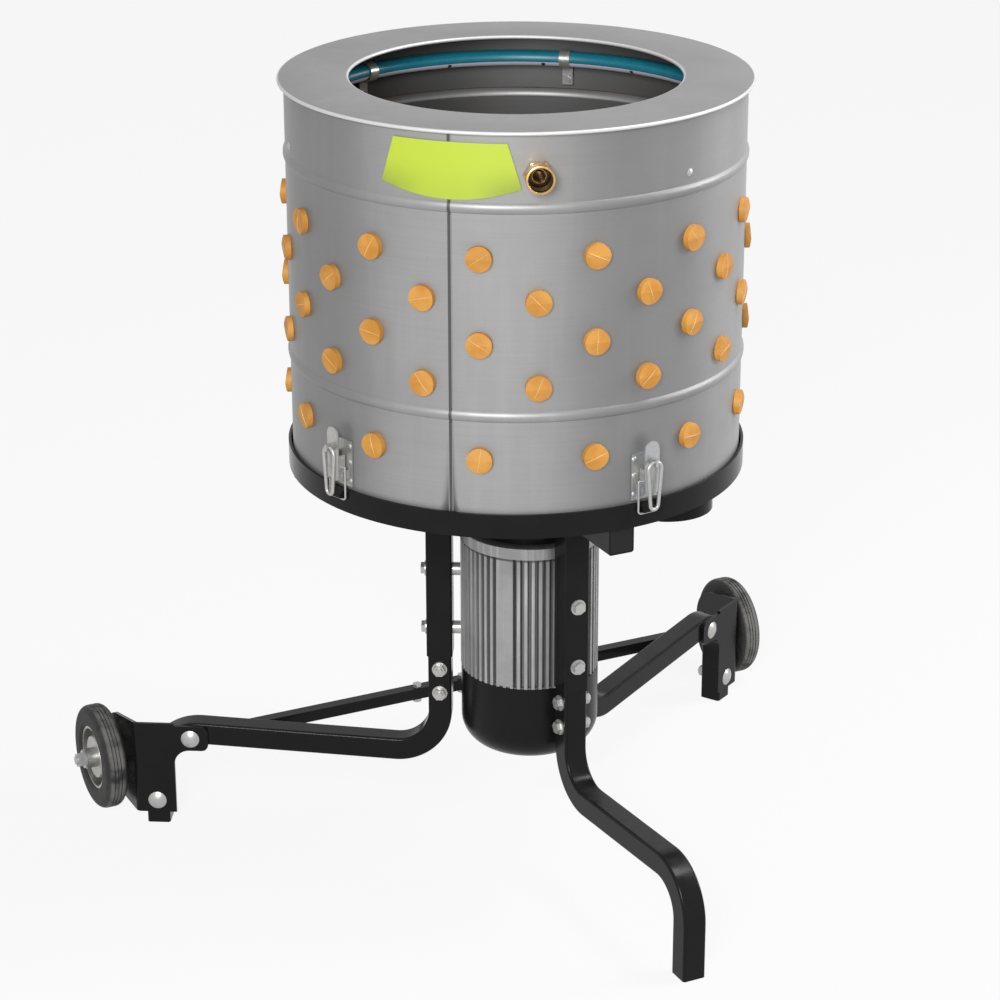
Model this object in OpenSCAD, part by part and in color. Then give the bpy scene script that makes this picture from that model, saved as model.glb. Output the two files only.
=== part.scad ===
// Drum plucker on a three-legged frame with two wheels.
// Millimetres, +Z up, floor at z = 0, front leg towards -Y, wheel axles along X.

/* [Drum] */
// Outer diameter of the drum shell
drum_d = 500; // [480:5:520]
// Sheet thickness of the drum shell
drum_wall = 1.5; // [1:0.1:2.5]
// Height of the drum shell
drum_h = 429; // [420:1:450]
// Height of the lower bead above the foot of the shell
lower_bead = 127; // [115:1:135]
// Depth of the upper bead under the top of the shell
upper_bead_drop = 79; // [77:1:89]
// How far a bead stands out of the shell
bead_out = 2.5; // [1:0.1:4]
// Radius of the round that forms a bead
bead_r = 8; // [6:0.5:10]
// Width of the lap strip on the shell seam
seam_w = 5; // [3:0.5:12]
// Thickness of the lap strip on the shell seam
seam_t = 0.8; // [0.5:0.1:1.5]
// Angle of the seam from the front leg
seam_angle = -42.3; // [-43:0.1:-41]
// Outer diameter of the top flange
flange_d = 514; // [510:1:530]
// Diameter of the mouth in the top flange
mouth_d = 360; // [320:1:380]
// Thickness of the flange sheet
flange_t = 2; // [1:0.1:3]
// Thickness of the rolled edges of the flange
hem_d = 4; // [3:0.5:6]
// Offset of the drum axis from the motor axis, towards the left wheel leg
drum_shift = 16; // [12:0.5:20]

/* [Fingers] */
// Pairs of finger columns round the drum
finger_pairs = 13; // [8:1:13]
// Angle of the first two-finger column from the front leg
finger_angle = -21.3; // [-22:0.1:-21]
// Height of the lowest finger row above the foot of the shell
low_row = 80; // [78:1:90]
// Height of the second finger row above the foot of the shell
second_row = 160; // [155:1:165]
// Distance between the upper finger rows
row_pitch = 46; // [40:1:48]
// Diameter of a finger head
head_d = 27.5; // [24:0.5:30]
// Thickness of a finger head at its ridge
head_t = 7; // [5:0.5:8]
// Fall of the head from its ridge to its edge
head_fall = 1.6; // [0.5:0.1:2]
// Diameter of the finger neck in the sheet
neck_d = 15; // [12:0.5:17]
// Diameter of a finger where it leaves the sheet
finger_d = 20; // [18:0.5:23]
// Diameter of a finger at its tip
tip_d = 13; // [10:0.5:16]
// Length of a finger beyond the sheet
finger_len = 84; // [70:1:90]
// Ribs on each finger
rib_count = 7; // [4:1:9]
// Depth of the grooves between the ribs
rib_depth = 1.3; // [0.5:0.1:2]

/* [Feather plate] */
// Gap between the feather plate and the drum wall
plate_gap = 10.5; // [6.5:0.5:18.5]
// Thickness of the feather plate
plate_t = 3; // [2:0.5:4]
// Height of the feather plate above the foot of the shell
plate_lift = 26; // [24:1:28]
// Diameter of the hub under the feather plate
hub_d = 60; // [50:1:70]
// Radius of the inner ring of plate fingers
inner_ring = 65; // [60:1:75]
// Fingers in the inner ring
inner_count = 6; // [4:1:7]
// Radius of the outer ring of plate fingers
outer_ring = 125; // [110:1:130]
// Fingers in the outer ring
outer_count = 12; // [8:1:16]

/* [Base pan] */
// Height of the underside of the pan above the floor
pan_z = 472; // [468:1:480]
// Thickness of the pan floor
pan_t = 4; // [3:0.5:5]
// Height of the upstanding ring of the pan
ring_h = 22.5; // [20:0.5:24]
// Thickness of the upstanding ring
ring_t = 3; // [2:0.5:4]
// Gap between the drum and the ring
ring_gap = 2; // [1.5:0.5:3]
// Thickness of the ledge that carries the drum
ledge_t = 2; // [1:0.5:3]
// Outer diameter of the feather outlet collar
outlet_d = 104; // [90:1:110]
// Wall of the feather outlet collar
outlet_wall = 2; // [1.5:0.5:3]
// Length of the collar below the pan
outlet_len = 32; // [20:1:40]
// Distance of the outlet from the drum axis
outlet_reach = 182; // [175:1:186]
// Angle of the outlet from the front leg
outlet_angle = 39; // [36:1:50]

/* [Frame] */
// Width of the square post and beam tube
post_w = 30; // [28:0.5:32]
// Wall of the post and beam tube
post_wall = 2; // [1.5:0.25:2.5]
// Distance of a post centre from the motor axis
post_reach = 103.5; // [103:0.5:107]
// Height of the lower end of the posts
post_low = 225; // [222:1:230]
// Distance of the beam ends from the drum axis
beam_reach = 250; // [240:1:252]
// Start of the beams from the drum axis
beam_start = 90; // [88:1:94]
// Width of the square leg tube
leg_w = 27; // [26:0.5:28]
// Wall of the leg tube
leg_wall = 2; // [1.5:0.25:2.5]
// Corner radius of the leg tube
leg_corner = 3; // [2.5:0.5:4]
// Centre line radius of the leg bends
bend_r = 50; // [40:1:55]
// Height of the centre line at the start of the leg run
run_z = 104; // [100:1:110]
// Upward slope of the leg run
run_slope = 3.2; // [1:0.1:4]
// Distance of the front foot from the motor axis
front_reach = 380; // [370:1:395]
// Distance of the wheel leg feet from the motor axis
wheel_leg_reach = 440; // [430:1:446]
// Length of the spigot that the leg slides on
spigot_len = 62; // [58:1:66]
// Clearance between spigot and leg tube on each side
spigot_gap = 0.2; // [0.1:0.05:0.4]
// Width of the square cross brace
brace_w = 14; // [12:0.5:16]
// Distance of the cross brace from the feet of the wheel legs, along the legs
brace_back = 74; // [64:1:88]
// Height of the underside of the cross brace
brace_z = 106; // [104:1:108]

/* [Fasteners] */
// Diameter of the frame bolts
bolt_d = 8; // [7:0.5:8.5]
// Clearance on the radius of a bolt in its hole
bolt_gap = 0.15; // [0.1:0.05:0.3]
// Height of the upper motor bolts
upper_bolt_z = 330; // [320:1:340]
// Height of the lower motor bolts
lower_bolt_z = 257; // [250:1:265]
// Depth of the motor bolts in the motor housing
bolt_bite = 12; // [8:1:14]
// Height of the upper leg bolts
upper_leg_bolt = 209; // [206:1:211]
// Height of the lower leg bolts
lower_leg_bolt = 179; // [177:1:181]
// Diameter of the small bolts
small_d = 6; // [5:0.5:6.5]

/* [Wheels] */
// Diameter of a wheel
wheel_d = 125; // [115:1:126]
// Width of the tyre
tyre_w = 27; // [25:0.5:31]
// Diameter of the hub rim under the tyre
rim_d = 76; // [72:1:84]
// Length of the hub
hub_len = 40; // [38:0.5:41]
// Diameter of the axle bolt
axle_d = 10; // [9:0.5:11]
// Running clearance on the radius of the axle
axle_gap = 0.06; // [0.03:0.01:0.1]
// Distance of the wheel centre outside the foot of its leg
wheel_out = 52; // [51:0.5:55]
// Distance of the wheel axle behind the foot of its leg
wheel_back = 56; // [52:1:62]
// Height of the wheel axle
wheel_z = 68; // [65:0.5:71]
// Thickness of the bracket plate
bracket_t = 4; // [3:0.5:4]
// Distance of the bracket bend past the centre of the leg
bracket_past = 20; // [17:1:22]
// Inner radius of the bracket bend
bracket_fold = 3; // [2:0.5:4]
// Height of the lower edge of the bracket
bracket_low = 16; // [12:1:20]
// Height of the upper edge of the bracket
bracket_high = 131; // [128:1:136]

/* [Motor] */
// Diameter over the motor fins
motor_d = 158; // [150:1:158]
// Depth of the motor fins
fin_depth = 9; // [7:0.5:11]
// Number of motor fins
fin_count = 60; // [40:1:66]
// Width of a fin at its root
fin_w = 5; // [3.5:0.1:5.5]
// Height of the lower end of the fins
fin_low = 216; // [212:1:218]
// Height of the upper end of the fins
fin_high = 375; // [370:1:378]
// Height of the lip at the top of the motor
lip_h = 13; // [10:1:15]
// How far the lip stands out past the fins
lip_out = 1; // [0.8:0.1:2]
// Bore of the motor housing
stator_d = 122; // [118:0.5:124]
// Lowest point of the fan cover
cover_low = 120; // [114:1:122]
// Wall of the fan cover
cover_wall = 2; // [1.5:0.25:3]
// Round at the foot of the fan cover
cover_round = 34; // [20:1:40]
// Diameter of the rotor core
rotor_d = 70; // [64:0.5:71]
// Diameter of the motor shaft
shaft_d = 18; // [14:0.5:18]
// Running clearance on the radius of the shafts
shaft_gap = 0.04; // [0.02:0.01:0.08]
// Outer diameter of the gear housing
gearbox_d = 132; // [130:1:140]
// Wall of the gear housing
gearbox_wall = 4; // [3:0.5:5]
// Diameter of the output shaft
output_d = 25; // [22:0.5:27]
// Width of the switch box
switch_w = 72; // [66:1:76]
// Height of the switch box
switch_h = 96; // [90:1:100]
// Depth of the switch box
switch_depth = 46; // [40:1:50]
// Diameter of a push button
button_d = 22; // [18:0.5:24]
// Travel of a push button
button_travel = 4; // [2:0.5:5]

/* [Latches] */
// Width of a latch base
latch_w = 36; // [35:0.5:40]
// Height of a latch base
latch_h = 52; // [50:1:54]
// Thickness of the latch sheet
latch_t = 1.5; // [1:0.25:1.5]
// Width of a latch lever
lever_w = 18; // [16:0.5:19]
// Length of a latch lever above its hinge pin
lever_len = 55; // [50:1:60]
// Diameter of the hinge pin
pin_d = 4; // [3:0.5:4.5]
// Diameter of the bail wire
bail_d = 2.4; // [2:0.1:2.6]
// Diameter of the snap ring wire
snap_d = 4; // [3:0.25:4.25]
// Distance of the hinge pin from the drum surface
pin_out = 8; // [7.5:0.25:9]

/* [Water] */
// Outer diameter of the spray hose
hose_d = 18; // [15:0.5:19]
// Wall of the spray hose
hose_wall = 2; // [1:0.25:3]
// Depth of the spray hose under the top of the shell
hose_drop = 35; // [31:1:41]
// Outer diameter of the brass hose socket
socket_d = 30; // [28:0.5:32]
// Bore of the hose socket
socket_bore = 24; // [22:0.5:25]
// Angle of the hose fitting from the front leg
fitting_angle = -21.4; // [-23:0.1:-20]
// Angle of the first hose clip from the front leg
clip_angle = 19.1; // [17:0.1:21]

/* [Hidden] */
$fn = 64;

// Heights and radii that follow from the driving sizes
drum_r = drum_d / 2;
ledge_z = pan_z + pan_t + ledge_t;
drum_top = ledge_z + drum_h;
upper_bead = drum_h - upper_bead_drop;
ring_in = drum_r + ring_gap;
ring_out = ring_in + ring_t;
plate_z = ledge_z + plate_lift;
motor_r = motor_d / 2;
motor_top = fin_high + lip_h;
fin_root = motor_r - fin_depth;
leg_half = leg_w / 2;
front_angle = -90;
leg_angles = [front_angle, front_angle + 120, front_angle + 240];
wheel_x = wheel_leg_reach * cos(leg_angles[1]) + wheel_out;
wheel_y = wheel_leg_reach * sin(leg_angles[1]) + wheel_back;
bracket_bend = wheel_leg_reach + bracket_past;
brace_y = (wheel_leg_reach - brace_back) * sin(leg_angles[1]);
plate_d = drum_d - 2 * drum_wall - 2 * plate_gap;
motor_y = (front_reach + leg_half - wheel_y - wheel_d / 2) / 2;
drum_x = drum_shift * cos(leg_angles[2]);
drum_y = motor_y + drum_shift * sin(leg_angles[2]);
post_high = pan_z - post_w;
spigot_w = leg_w - 2 * leg_wall - 2 * spigot_gap;
eps = 0.01;

// Places a child, drawn along +X, at an angle from the front leg
module round_drum(angle) translate([drum_x, drum_y, 0]) rotate(front_angle + angle) children();
module round_motor(angle) translate([0, motor_y, 0]) rotate(angle) children();

// Turns a child from +Z to +X
module along_x() rotate([0, 90, 0]) children();

// Ring with a rectangular section
module tube(outer_d, inner_d, h) {
    difference() {
        cylinder(d = outer_d, h = h);
        translate([0, 0, -1]) cylinder(d = inner_d, h = h + 2);
    }
}

// Square with rounded corners, centred
module round_square(w, r) {
    square([w - 2 * r, w], center = true);
    square([w, w - 2 * r], center = true);
    for (sx = [-1, 1], sy = [-1, 1])
        translate([sx * (w / 2 - r), sy * (w / 2 - r)]) circle(r);
}

// Section of a square tube
module tube_section(w, wall, corner) {
    difference() {
        round_square(w, corner);
        round_square(w - 2 * wall, max(corner - wall, 0.5));
    }
}

// Hexagon with a given size over the flats, standing on z = 0
module hexagon(flats, h) cylinder(d = flats / cos(30), h = h, $fn = 6);

// Flange bolt along -Z with its seat at z = 0
module flange_bolt(d, length) {
    cylinder(d = 2.25 * d, h = 0.22 * d);
    hexagon(1.55 * d, 0.8 * d);
    translate([0, 0, -length]) cylinder(d = d, h = length + eps);
}

// Flange nut with its seat at z = 0
module flange_nut(d) {
    difference() {
        union() {
            cylinder(d = 2.2 * d, h = 0.22 * d);
            hexagon(1.55 * d, d);
        }
        translate([0, 0, -1]) cylinder(r = d / 2 + bolt_gap / 2, h = d + 2);
    }
}

// Round headed bolt along -Z with its seat at z = 0
module carriage_bolt(d, length, dome) {
    head_r = 1.35 * d;
    ball_r = (head_r * head_r + dome * dome) / 2 / dome;
    intersection() {
        translate([0, 0, dome - ball_r]) rotate([90, 0, 0]) sphere(r = ball_r);
        cylinder(r = 2 * head_r, h = 2 * dome);
    }
    translate([0, 0, -length]) cylinder(d = d, h = length + eps);
}

// Drum

finger_step = 180 / finger_pairs;

// Each latch stands between two long finger columns, at about these shares of a turn.
// The last one is a little off.
latch_shares = [1 / 13, 5 / 13, 8 / 13, 11 / 13];
latch_trim = [0, 0, 0, 2.2];
latch_angles = [for (i = [0 : 3])
    finger_angle + 2 * round(latch_shares[i] * finger_pairs) * finger_step + latch_trim[i]];

neck_gap = 0.1;
rivet_d = 4;
rivet_gap = 0.05;
// One clip place of the six is left free for the badge and the fitting
clip_places = 6;
clip_count = clip_places - 1;
clip_drop = 26;
fitting_hole = socket_bore - 2;
fitting_drop = 8;
hose_z = drum_top - hose_drop;
fitting_z = hose_z - fitting_drop;
hose_stand = 7.5;
hose_r = drum_r - drum_wall - hose_stand - hose_d / 2;
rivet_side = latch_w / 2 - 3.2;
rivet_heights = [7, 28, 46];
latch_low = ledge_z + ring_h + 3 - ledge_t;

// Heights of the fingers in the two kinds of column, with as many rows as fit under the upper bead
row_clear = 4;
row_end = upper_bead - bead_r - head_d / 2 - row_clear;
last_row = floor((row_end - second_row) / row_pitch);
long_rows = concat([low_row], [for (i = [1 : 2 : last_row]) second_row + i * row_pitch]);
short_rows = [for (i = [0 : 2 : last_row]) second_row + i * row_pitch];

module at_drum_fingers() {
    for (pair = [0 : finger_pairs - 1]) {
        for (z = short_rows)
            round_drum(finger_angle + 2 * pair * finger_step)
                translate([drum_r, 0, ledge_z + z]) children();
        for (z = long_rows)
            round_drum(finger_angle + (2 * pair + 1) * finger_step)
                translate([drum_r, 0, ledge_z + z]) children();
    }
}

module at_latch_rivets() {
    for (angle = latch_angles, side = [-1, 1], z = rivet_heights)
        round_drum(angle) translate([drum_r, side * rivet_side, latch_low + z]) children();
}

module at_clips() {
    for (i = [0 : clip_count - 1])
        round_drum(clip_angle + i * 360 / clip_places) children();
}

module shell_profile(r) {
    square([r, drum_h]);
    for (z = [lower_bead, upper_bead])
        translate([r - bead_r + bead_out, z]) circle(bead_r);
}

// The lap strip stops at the beads
seam_parts = [[0, lower_bead - bead_r], [lower_bead + bead_r, upper_bead - bead_r],
    [upper_bead + bead_r, drum_h]];

module drum_shell() color("silver") {
    difference() {
        union() {
            translate([drum_x, drum_y, ledge_z]) rotate_extrude() difference() {
                shell_profile(drum_r);
                translate([0, -1]) square([drum_r - drum_wall, drum_h + 2]);
                for (z = [lower_bead, upper_bead])
                    translate([drum_r - drum_wall - bead_r + bead_out, z]) circle(bead_r);
            }
            for (part = seam_parts) round_drum(seam_angle)
                translate([drum_r - drum_wall / 2, -seam_w / 2, ledge_z + part[0]])
                    cube([drum_wall / 2 + seam_t, seam_w, part[1] - part[0]]);
        }
        at_drum_fingers() translate([-drum_wall * 3, 0, 0]) along_x()
            cylinder(r = neck_d / 2 + neck_gap, h = drum_wall * 6);
        at_latch_rivets() translate([-drum_wall * 3, 0, 0]) along_x()
            cylinder(r = rivet_d / 2 + rivet_gap, h = drum_wall * 6);
        at_clips() translate([drum_r - drum_wall * 3, 0, hose_z - clip_drop]) along_x()
            cylinder(r = rivet_d / 2 + rivet_gap, h = drum_wall * 6);
        round_drum(fitting_angle) translate([drum_r - drum_wall * 3, 0, fitting_z]) along_x()
            cylinder(r = fitting_hole / 2 + rivet_gap, h = drum_wall * 6);
    }
}

module top_flange() color("lightgray") {
    translate([drum_x, drum_y, drum_top]) rotate_extrude() {
        translate([mouth_d / 2, 0]) square([(flange_d - mouth_d) / 2, flange_t]);
        for (r = [mouth_d / 2 + hem_d / 2, flange_d / 2 - hem_d / 2])
            translate([r, flange_t - hem_d / 2]) circle(d = hem_d);
    }
}

// Rubber finger along -Z through a sheet, with its head on z = 0
module finger(sheet) {
    collar_d = finger_d + 3;
    collar_gap = 0.5;
    start = -sheet - collar_gap;
    step = (finger_len - 8) / rib_count;
    taper = (finger_d - tip_d) / 2 / rib_count;
    rib_points = [for (i = [0 : rib_count - 1]) each [
        [finger_d / 2 - i * taper, start - 8 - i * step],
        [finger_d / 2 - i * taper, start - 8 - (i + 0.45) * step],
        [finger_d / 2 - (i + 0.5) * taper - rib_depth, start - 8 - (i + 0.6) * step],
        [finger_d / 2 - (i + 0.5) * taper - rib_depth, start - 8 - (i + 0.85) * step]]];
    rotate_extrude() polygon(concat(
        [[0, eps], [neck_d / 2, eps], [neck_d / 2, start], [collar_d / 2, start], [collar_d / 2, start - 5]],
        rib_points,
        [[tip_d / 2, start - finger_len + 2], [tip_d / 2 - 2, start - finger_len], [0, start - finger_len]]));
    intersection() {
        cylinder(d = head_d, h = head_t);
        rotate([90, 0, 90]) translate([0, 0, -head_d]) linear_extrude(2 * head_d)
            polygon([[-head_d, 0], [head_d, 0], [head_d / 2, head_t - head_fall], [0, head_t],
                [-head_d / 2, head_t - head_fall]]);
    }
}

module drum_fingers() color("orange") at_drum_fingers() rotate([0, 90, 0]) rotate(90) finger(drum_wall);

// The badge is a trapezium, wider below, with an arched lower edge
badge_drop = 11;
badge_h = 59.5;
badge_high = drum_h - badge_drop;
badge_low = badge_high - badge_h;
badge_top_w = 120;
badge_low_w = 155;
badge_arch = 225;
badge_t = 0.8;
badge_gap = 0.1;

module badge_plate() color("yellowgreen") {
    inside = drum_r + seam_t + badge_gap;
    round_drum(seam_angle) translate([0, 0, ledge_z]) difference() {
        intersection() {
            cylinder(r = inside + badge_t, h = drum_h);
            rotate([90, 0, 90]) linear_extrude(2 * drum_r) intersection() {
                polygon([[-badge_top_w / 2, badge_high], [-badge_low_w / 2, badge_low],
                    [badge_low_w / 2, badge_low], [badge_top_w / 2, badge_high]]);
                translate([0, badge_low + badge_arch]) circle(badge_arch);
            }
        }
        translate([0, 0, -1]) cylinder(r = inside, h = drum_h + 2);
    }
}

// Water

tee_len = 34;
tee_gap = 0.7;
tee_angle = tee_len / 2 / hose_r * 180 / PI;

module spray_hose() color("teal") {
    round_drum(fitting_angle + tee_angle) translate([0, 0, hose_z])
        rotate_extrude(angle = 360 - 2 * tee_angle) translate([hose_r, 0]) difference() {
            circle(d = hose_d);
            circle(d = hose_d - 2 * hose_wall);
        }
}

clip_t = 1.5;
clip_w = 12;
clip_gap = 0.3;

module hose_clips() color("lightgray") at_clips() {
    leaf_r = drum_r - drum_wall - clip_gap;
    loop_r = hose_d / 2 + clip_gap;
    difference() {
        union() {
            translate([hose_r, clip_w / 2, hose_z]) rotate([90, 0, 0])
                tube(2 * (loop_r + clip_t), 2 * loop_r, clip_w);
            translate([hose_r + loop_r, -clip_w / 2, hose_z - clip_drop - 6])
                cube([clip_t, clip_w, clip_drop + 6]);
            translate([hose_r + loop_r, -clip_w / 2, hose_z - clip_drop - 6])
                cube([leaf_r - hose_r - loop_r - 0.2, clip_w, clip_t * 6]);
        }
        translate([hose_r, 0, hose_z - clip_drop]) along_x()
            cylinder(r = rivet_d / 2 + rivet_gap, h = hose_d * 3);
    }
}

module clip_rivets() at_clips() translate([drum_r, 0, hose_z - clip_drop]) along_x() {
    shank = drum_r - hose_r - hose_d / 2 - clip_gap;
    intersection() {
        translate([0, 0, 2 - rivet_d * 1.5]) sphere(r = rivet_d * 1.5);
        cylinder(d = rivet_d * 2.2, h = 2);
    }
    translate([0, 0, -shank - 0.2]) cylinder(d = rivet_d, h = shank + 0.2 + eps);
    translate([0, 0, -shank - 1.5]) cylinder(d = rivet_d * 1.7, h = 1.5);
}

socket_len = 16;
fitting_hex = 8;
fitting_flats = socket_d + 1;

module brass_fitting() round_drum(fitting_angle) {
    bore = fitting_hole - 8;
    translate([0, 0, fitting_z]) along_x() difference() {
        union() {
            translate([0, 0, drum_r]) hexagon(fitting_flats, fitting_hex);
            translate([0, 0, drum_r + fitting_hex - eps]) cylinder(d = socket_d, h = socket_len);
            translate([0, 0, hose_r]) cylinder(d = fitting_hole, h = drum_r - hose_r + 1);
        }
        translate([0, 0, hose_r + 4]) cylinder(d = bore, h = drum_r);
        translate([0, 0, drum_r + fitting_hex - 1]) cylinder(d = socket_bore, h = 2 * socket_len);
    }
    translate([hose_r, tee_len / 2 - tee_gap, hose_z]) rotate([90, 0, 0])
        cylinder(d = hose_d + 1, h = tee_len - 2 * tee_gap);
}

module fitting_nut() round_drum(fitting_angle) {
    nut_h = 5;
    translate([drum_r - drum_wall - 1.2 - nut_h, 0, fitting_z]) along_x() difference() {
        hexagon(fitting_flats, nut_h);
        translate([0, 0, -1]) cylinder(r = fitting_hole / 2 + rivet_gap, h = nut_h + 2);
    }
}

module hose_fitting() color("goldenrod") {
    brass_fitting();
    fitting_nut();
}

// Latches

pin_z = latch_low + 12;
ear_gap = 0.4;
ear_in = lever_w / 2 + ear_gap;
ear_out = ear_in + latch_t;
bail_up = 10;
bail_in = 1;
bail_side = ear_out + 0.6 + bail_d / 2;
bail_x = drum_r + pin_out - bail_in;
bail_z = pin_z + bail_up;
catch_z = pan_z + pan_t + 12.4;
bar_gap = 0.25;
bar_z = catch_z - bar_gap - bail_d / 2;
pin_gap = 0.08;
pin_head = 0.3;

module latch_bases() color("lightgray") for (angle = latch_angles) round_drum(angle) {
    difference() {
        union() {
            translate([drum_r, -latch_w / 2, latch_low]) cube([latch_t, latch_w, latch_h]);
            for (side = [-1, 1]) translate([drum_r, side * (ear_in + latch_t / 2) - latch_t / 2, pin_z - 6])
                cube([pin_out + 4, latch_t, 12]);
        }
        translate([drum_r + pin_out, latch_w / 2, pin_z]) rotate([90, 0, 0])
            cylinder(r = pin_d / 2 + pin_gap / 2, h = latch_w);
        for (side = [-1, 1], z = rivet_heights) translate([drum_r - 1, side * rivet_side, latch_low + z])
            along_x() cylinder(r = rivet_d / 2 + rivet_gap, h = latch_t + 2);
    }
}

// The tail head clears the hollow side of the shell by the sagitta there
tail_start = drum_wall + 0.8;
tail_h = 1.2;

module latch_rivets() {
    at_latch_rivets() along_x() {
        translate([0, 0, latch_t]) intersection() {
            translate([0, 0, 1.4 - rivet_d]) sphere(r = rivet_d);
            cylinder(d = rivet_d * 1.5, h = 1.4);
        }
        translate([0, 0, -tail_start - eps]) cylinder(d = rivet_d, h = tail_start + latch_t + 2 * eps);
        translate([0, 0, -tail_start - tail_h]) cylinder(d = rivet_d * 1.5, h = tail_h);
    }
    for (angle = latch_angles) round_drum(angle) translate([drum_r + pin_out, 0, pin_z]) rotate([90, 0, 0]) {
        translate([0, 0, -ear_out - eps]) cylinder(d = pin_d, h = 2 * ear_out + 2 * eps);
        for (side = [0, 1]) mirror([0, 0, side]) translate([0, 0, ear_out])
            cylinder(d = pin_d * 1.5, h = pin_head);
    }
}

module rivets() color("white") {
    clip_rivets();
    latch_rivets();
}

lever_front = 11.5;
lever_foot = 3.5;
eye_z = pin_z + 33;
eye_out = lever_front + latch_t + 5;
eye_t = 3;
eye_h = 8;
eye_nose = 4.5;
eye_gap = 0.5;
cheek_back = 3.4;

// Lever standing closed, with its hinge pin and its eye for the snap ring
module lever(angle) color("gainsboro") round_drum(angle) {
    cheek_h = 27;
    difference() {
        union() {
            translate([drum_r + lever_front, 0, 0]) rotate([90, 0, 90]) linear_extrude(latch_t) {
                translate([-lever_w / 2, pin_z - lever_foot])
                    square([lever_w, lever_len - lever_w / 2 + lever_foot]);
                translate([0, pin_z + lever_len - lever_w / 2]) circle(d = lever_w);
            }
            for (side = [-1, 1]) translate([drum_r + cheek_back, 0, pin_z - lever_foot])
                translate([0, (side * (lever_w - latch_t) - latch_t) / 2, 0])
                    cube([lever_front - cheek_back + eps, latch_t, cheek_h]);
            translate([drum_r + lever_front, -eye_t / 2, eye_z - eye_h / 2])
                cube([eye_out - lever_front + eye_nose, eye_t, eye_h]);
        }
        translate([drum_r + pin_out, lever_w, pin_z]) rotate([90, 0, 0])
            cylinder(r = pin_d / 2 + pin_gap, h = 2 * lever_w);
        translate([bail_x, lever_w, bail_z]) rotate([90, 0, 0])
            cylinder(r = bail_d / 2 + pin_gap, h = 2 * lever_w);
        translate([drum_r + eye_out, lever_w, eye_z]) rotate([90, 0, 0])
            cylinder(r = snap_d / 2 + eye_gap, h = 2 * lever_w);
    }
}

// Wire bail from the lever down to the catch
module bail(angle) color("gainsboro") round_drum(angle) translate([bail_x, 0, 0]) {
    corner = 4;
    hook = 3;
    for (side = [0, 1]) mirror([0, side, 0]) {
        translate([0, bail_side, bar_z + corner]) cylinder(d = bail_d, h = bail_z - bar_z - corner);
        translate([0, bail_side, bail_z]) sphere(d = bail_d);
        translate([0, bail_side, bail_z]) rotate([90, 0, 0])
            cylinder(d = bail_d, h = bail_side - lever_w / 2 + hook);
        translate([0, bail_side - corner, bar_z + corner]) rotate([0, 90, 0])
            rotate_extrude(angle = 90) translate([corner, 0]) circle(d = bail_d);
    }
    translate([0, bail_side - corner, bar_z]) rotate([90, 0, 0])
        cylinder(d = bail_d, h = 2 * (bail_side - corner));
}

catch_w = 16;
catch_lip = 2.5;
catch_h = 9;
catch_over = 3;
pan_bolt_in = 12;
pan_bolt_turn = 5;

// The bolts stand beside the latches, clear of the beams
pan_bolt_angles = [for (i = [0 : 3]) latch_angles[i] + (i == 0 ? 1 : -1) * pan_bolt_turn];

// Wedge on the ring of the pan with a flat lip for the bail
module latch_catches() color("dimgray") for (angle = latch_angles) round_drum(angle)
    translate([0, catch_w / 2, 0]) rotate([90, 0, 0]) linear_extrude(catch_w) polygon([
        [ring_out, catch_z], [drum_r + pin_out + catch_over, catch_z],
        [drum_r + pin_out + catch_over, catch_z + catch_lip], [ring_out, catch_z + catch_h]]);

// Snap ring hanging from the eye of a lever: two arcs and two straight sides, with a ball over each joint
snap_top_r = 8.5;
snap_low_r = 5;
snap_drop = 53;
snap_ball = snap_d + 0.1;

module snap_arc(r, from, sweep) rotate([90, 0, 90]) rotate(from) rotate_extrude(angle = sweep)
    translate([r, 0]) circle(d = snap_d);

module snap_ring(angle) color("gainsboro") round_drum(angle) translate([drum_r + eye_out, 0, eye_z]) {
    span = snap_drop - snap_top_r - snap_low_r;
    tilt = asin((snap_top_r - snap_low_r) / span);
    side = span * cos(tilt);
    translate([0, 0, -snap_top_r]) snap_arc(snap_top_r, -tilt, 180 + 2 * tilt);
    translate([0, 0, -snap_top_r - span]) snap_arc(snap_low_r, 180 + tilt, 180 - 2 * tilt);
    for (k = [0, 1]) mirror([0, k, 0]) translate([0, 0, -snap_top_r]) rotate([-tilt, 0, 0])
        translate([0, snap_top_r, 0]) {
            sphere(d = snap_ball);
            mirror([0, 0, 1]) cylinder(d = snap_d, h = side);
            translate([0, 0, -side]) sphere(d = snap_ball);
        }
}

// Bolts through the pan floor into the ledge, heads below
module pan_bolts() for (angle = pan_bolt_angles) round_drum(angle)
    translate([ring_out - pan_bolt_in, 0, pan_z]) mirror([0, 0, 1]) {
        hexagon(small_d * 1.65, small_d * 0.65);
        translate([0, 0, -pan_t - ledge_t]) cylinder(d = small_d, h = pan_t + ledge_t + eps);
    }

// Base pan and beams

module base_pan() color("#222222") {
    hub_hole = output_d + 8;
    ledge_in = drum_r - drum_wall - 4;
    difference() {
        translate([drum_x, drum_y, pan_z]) rotate_extrude() polygon([
            [0, 0], [ring_out, 0], [ring_out, pan_t + ring_h], [ring_in, pan_t + ring_h],
            [ring_in, pan_t + ledge_t], [ledge_in, pan_t + ledge_t], [ledge_in, pan_t], [0, pan_t]]);
        translate([drum_x, drum_y, pan_z - 1]) cylinder(d = hub_hole, h = pan_t + 2);
        round_drum(outlet_angle) translate([outlet_reach, 0, pan_z - 1])
            cylinder(d = outlet_d - 2 * outlet_wall, h = pan_t + 2);
        for (angle = pan_bolt_angles) round_drum(angle) translate([ring_out - pan_bolt_in, 0, pan_z - 1])
            cylinder(r = small_d / 2 + bolt_gap, h = pan_t + ledge_t + 2);
    }
}

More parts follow.
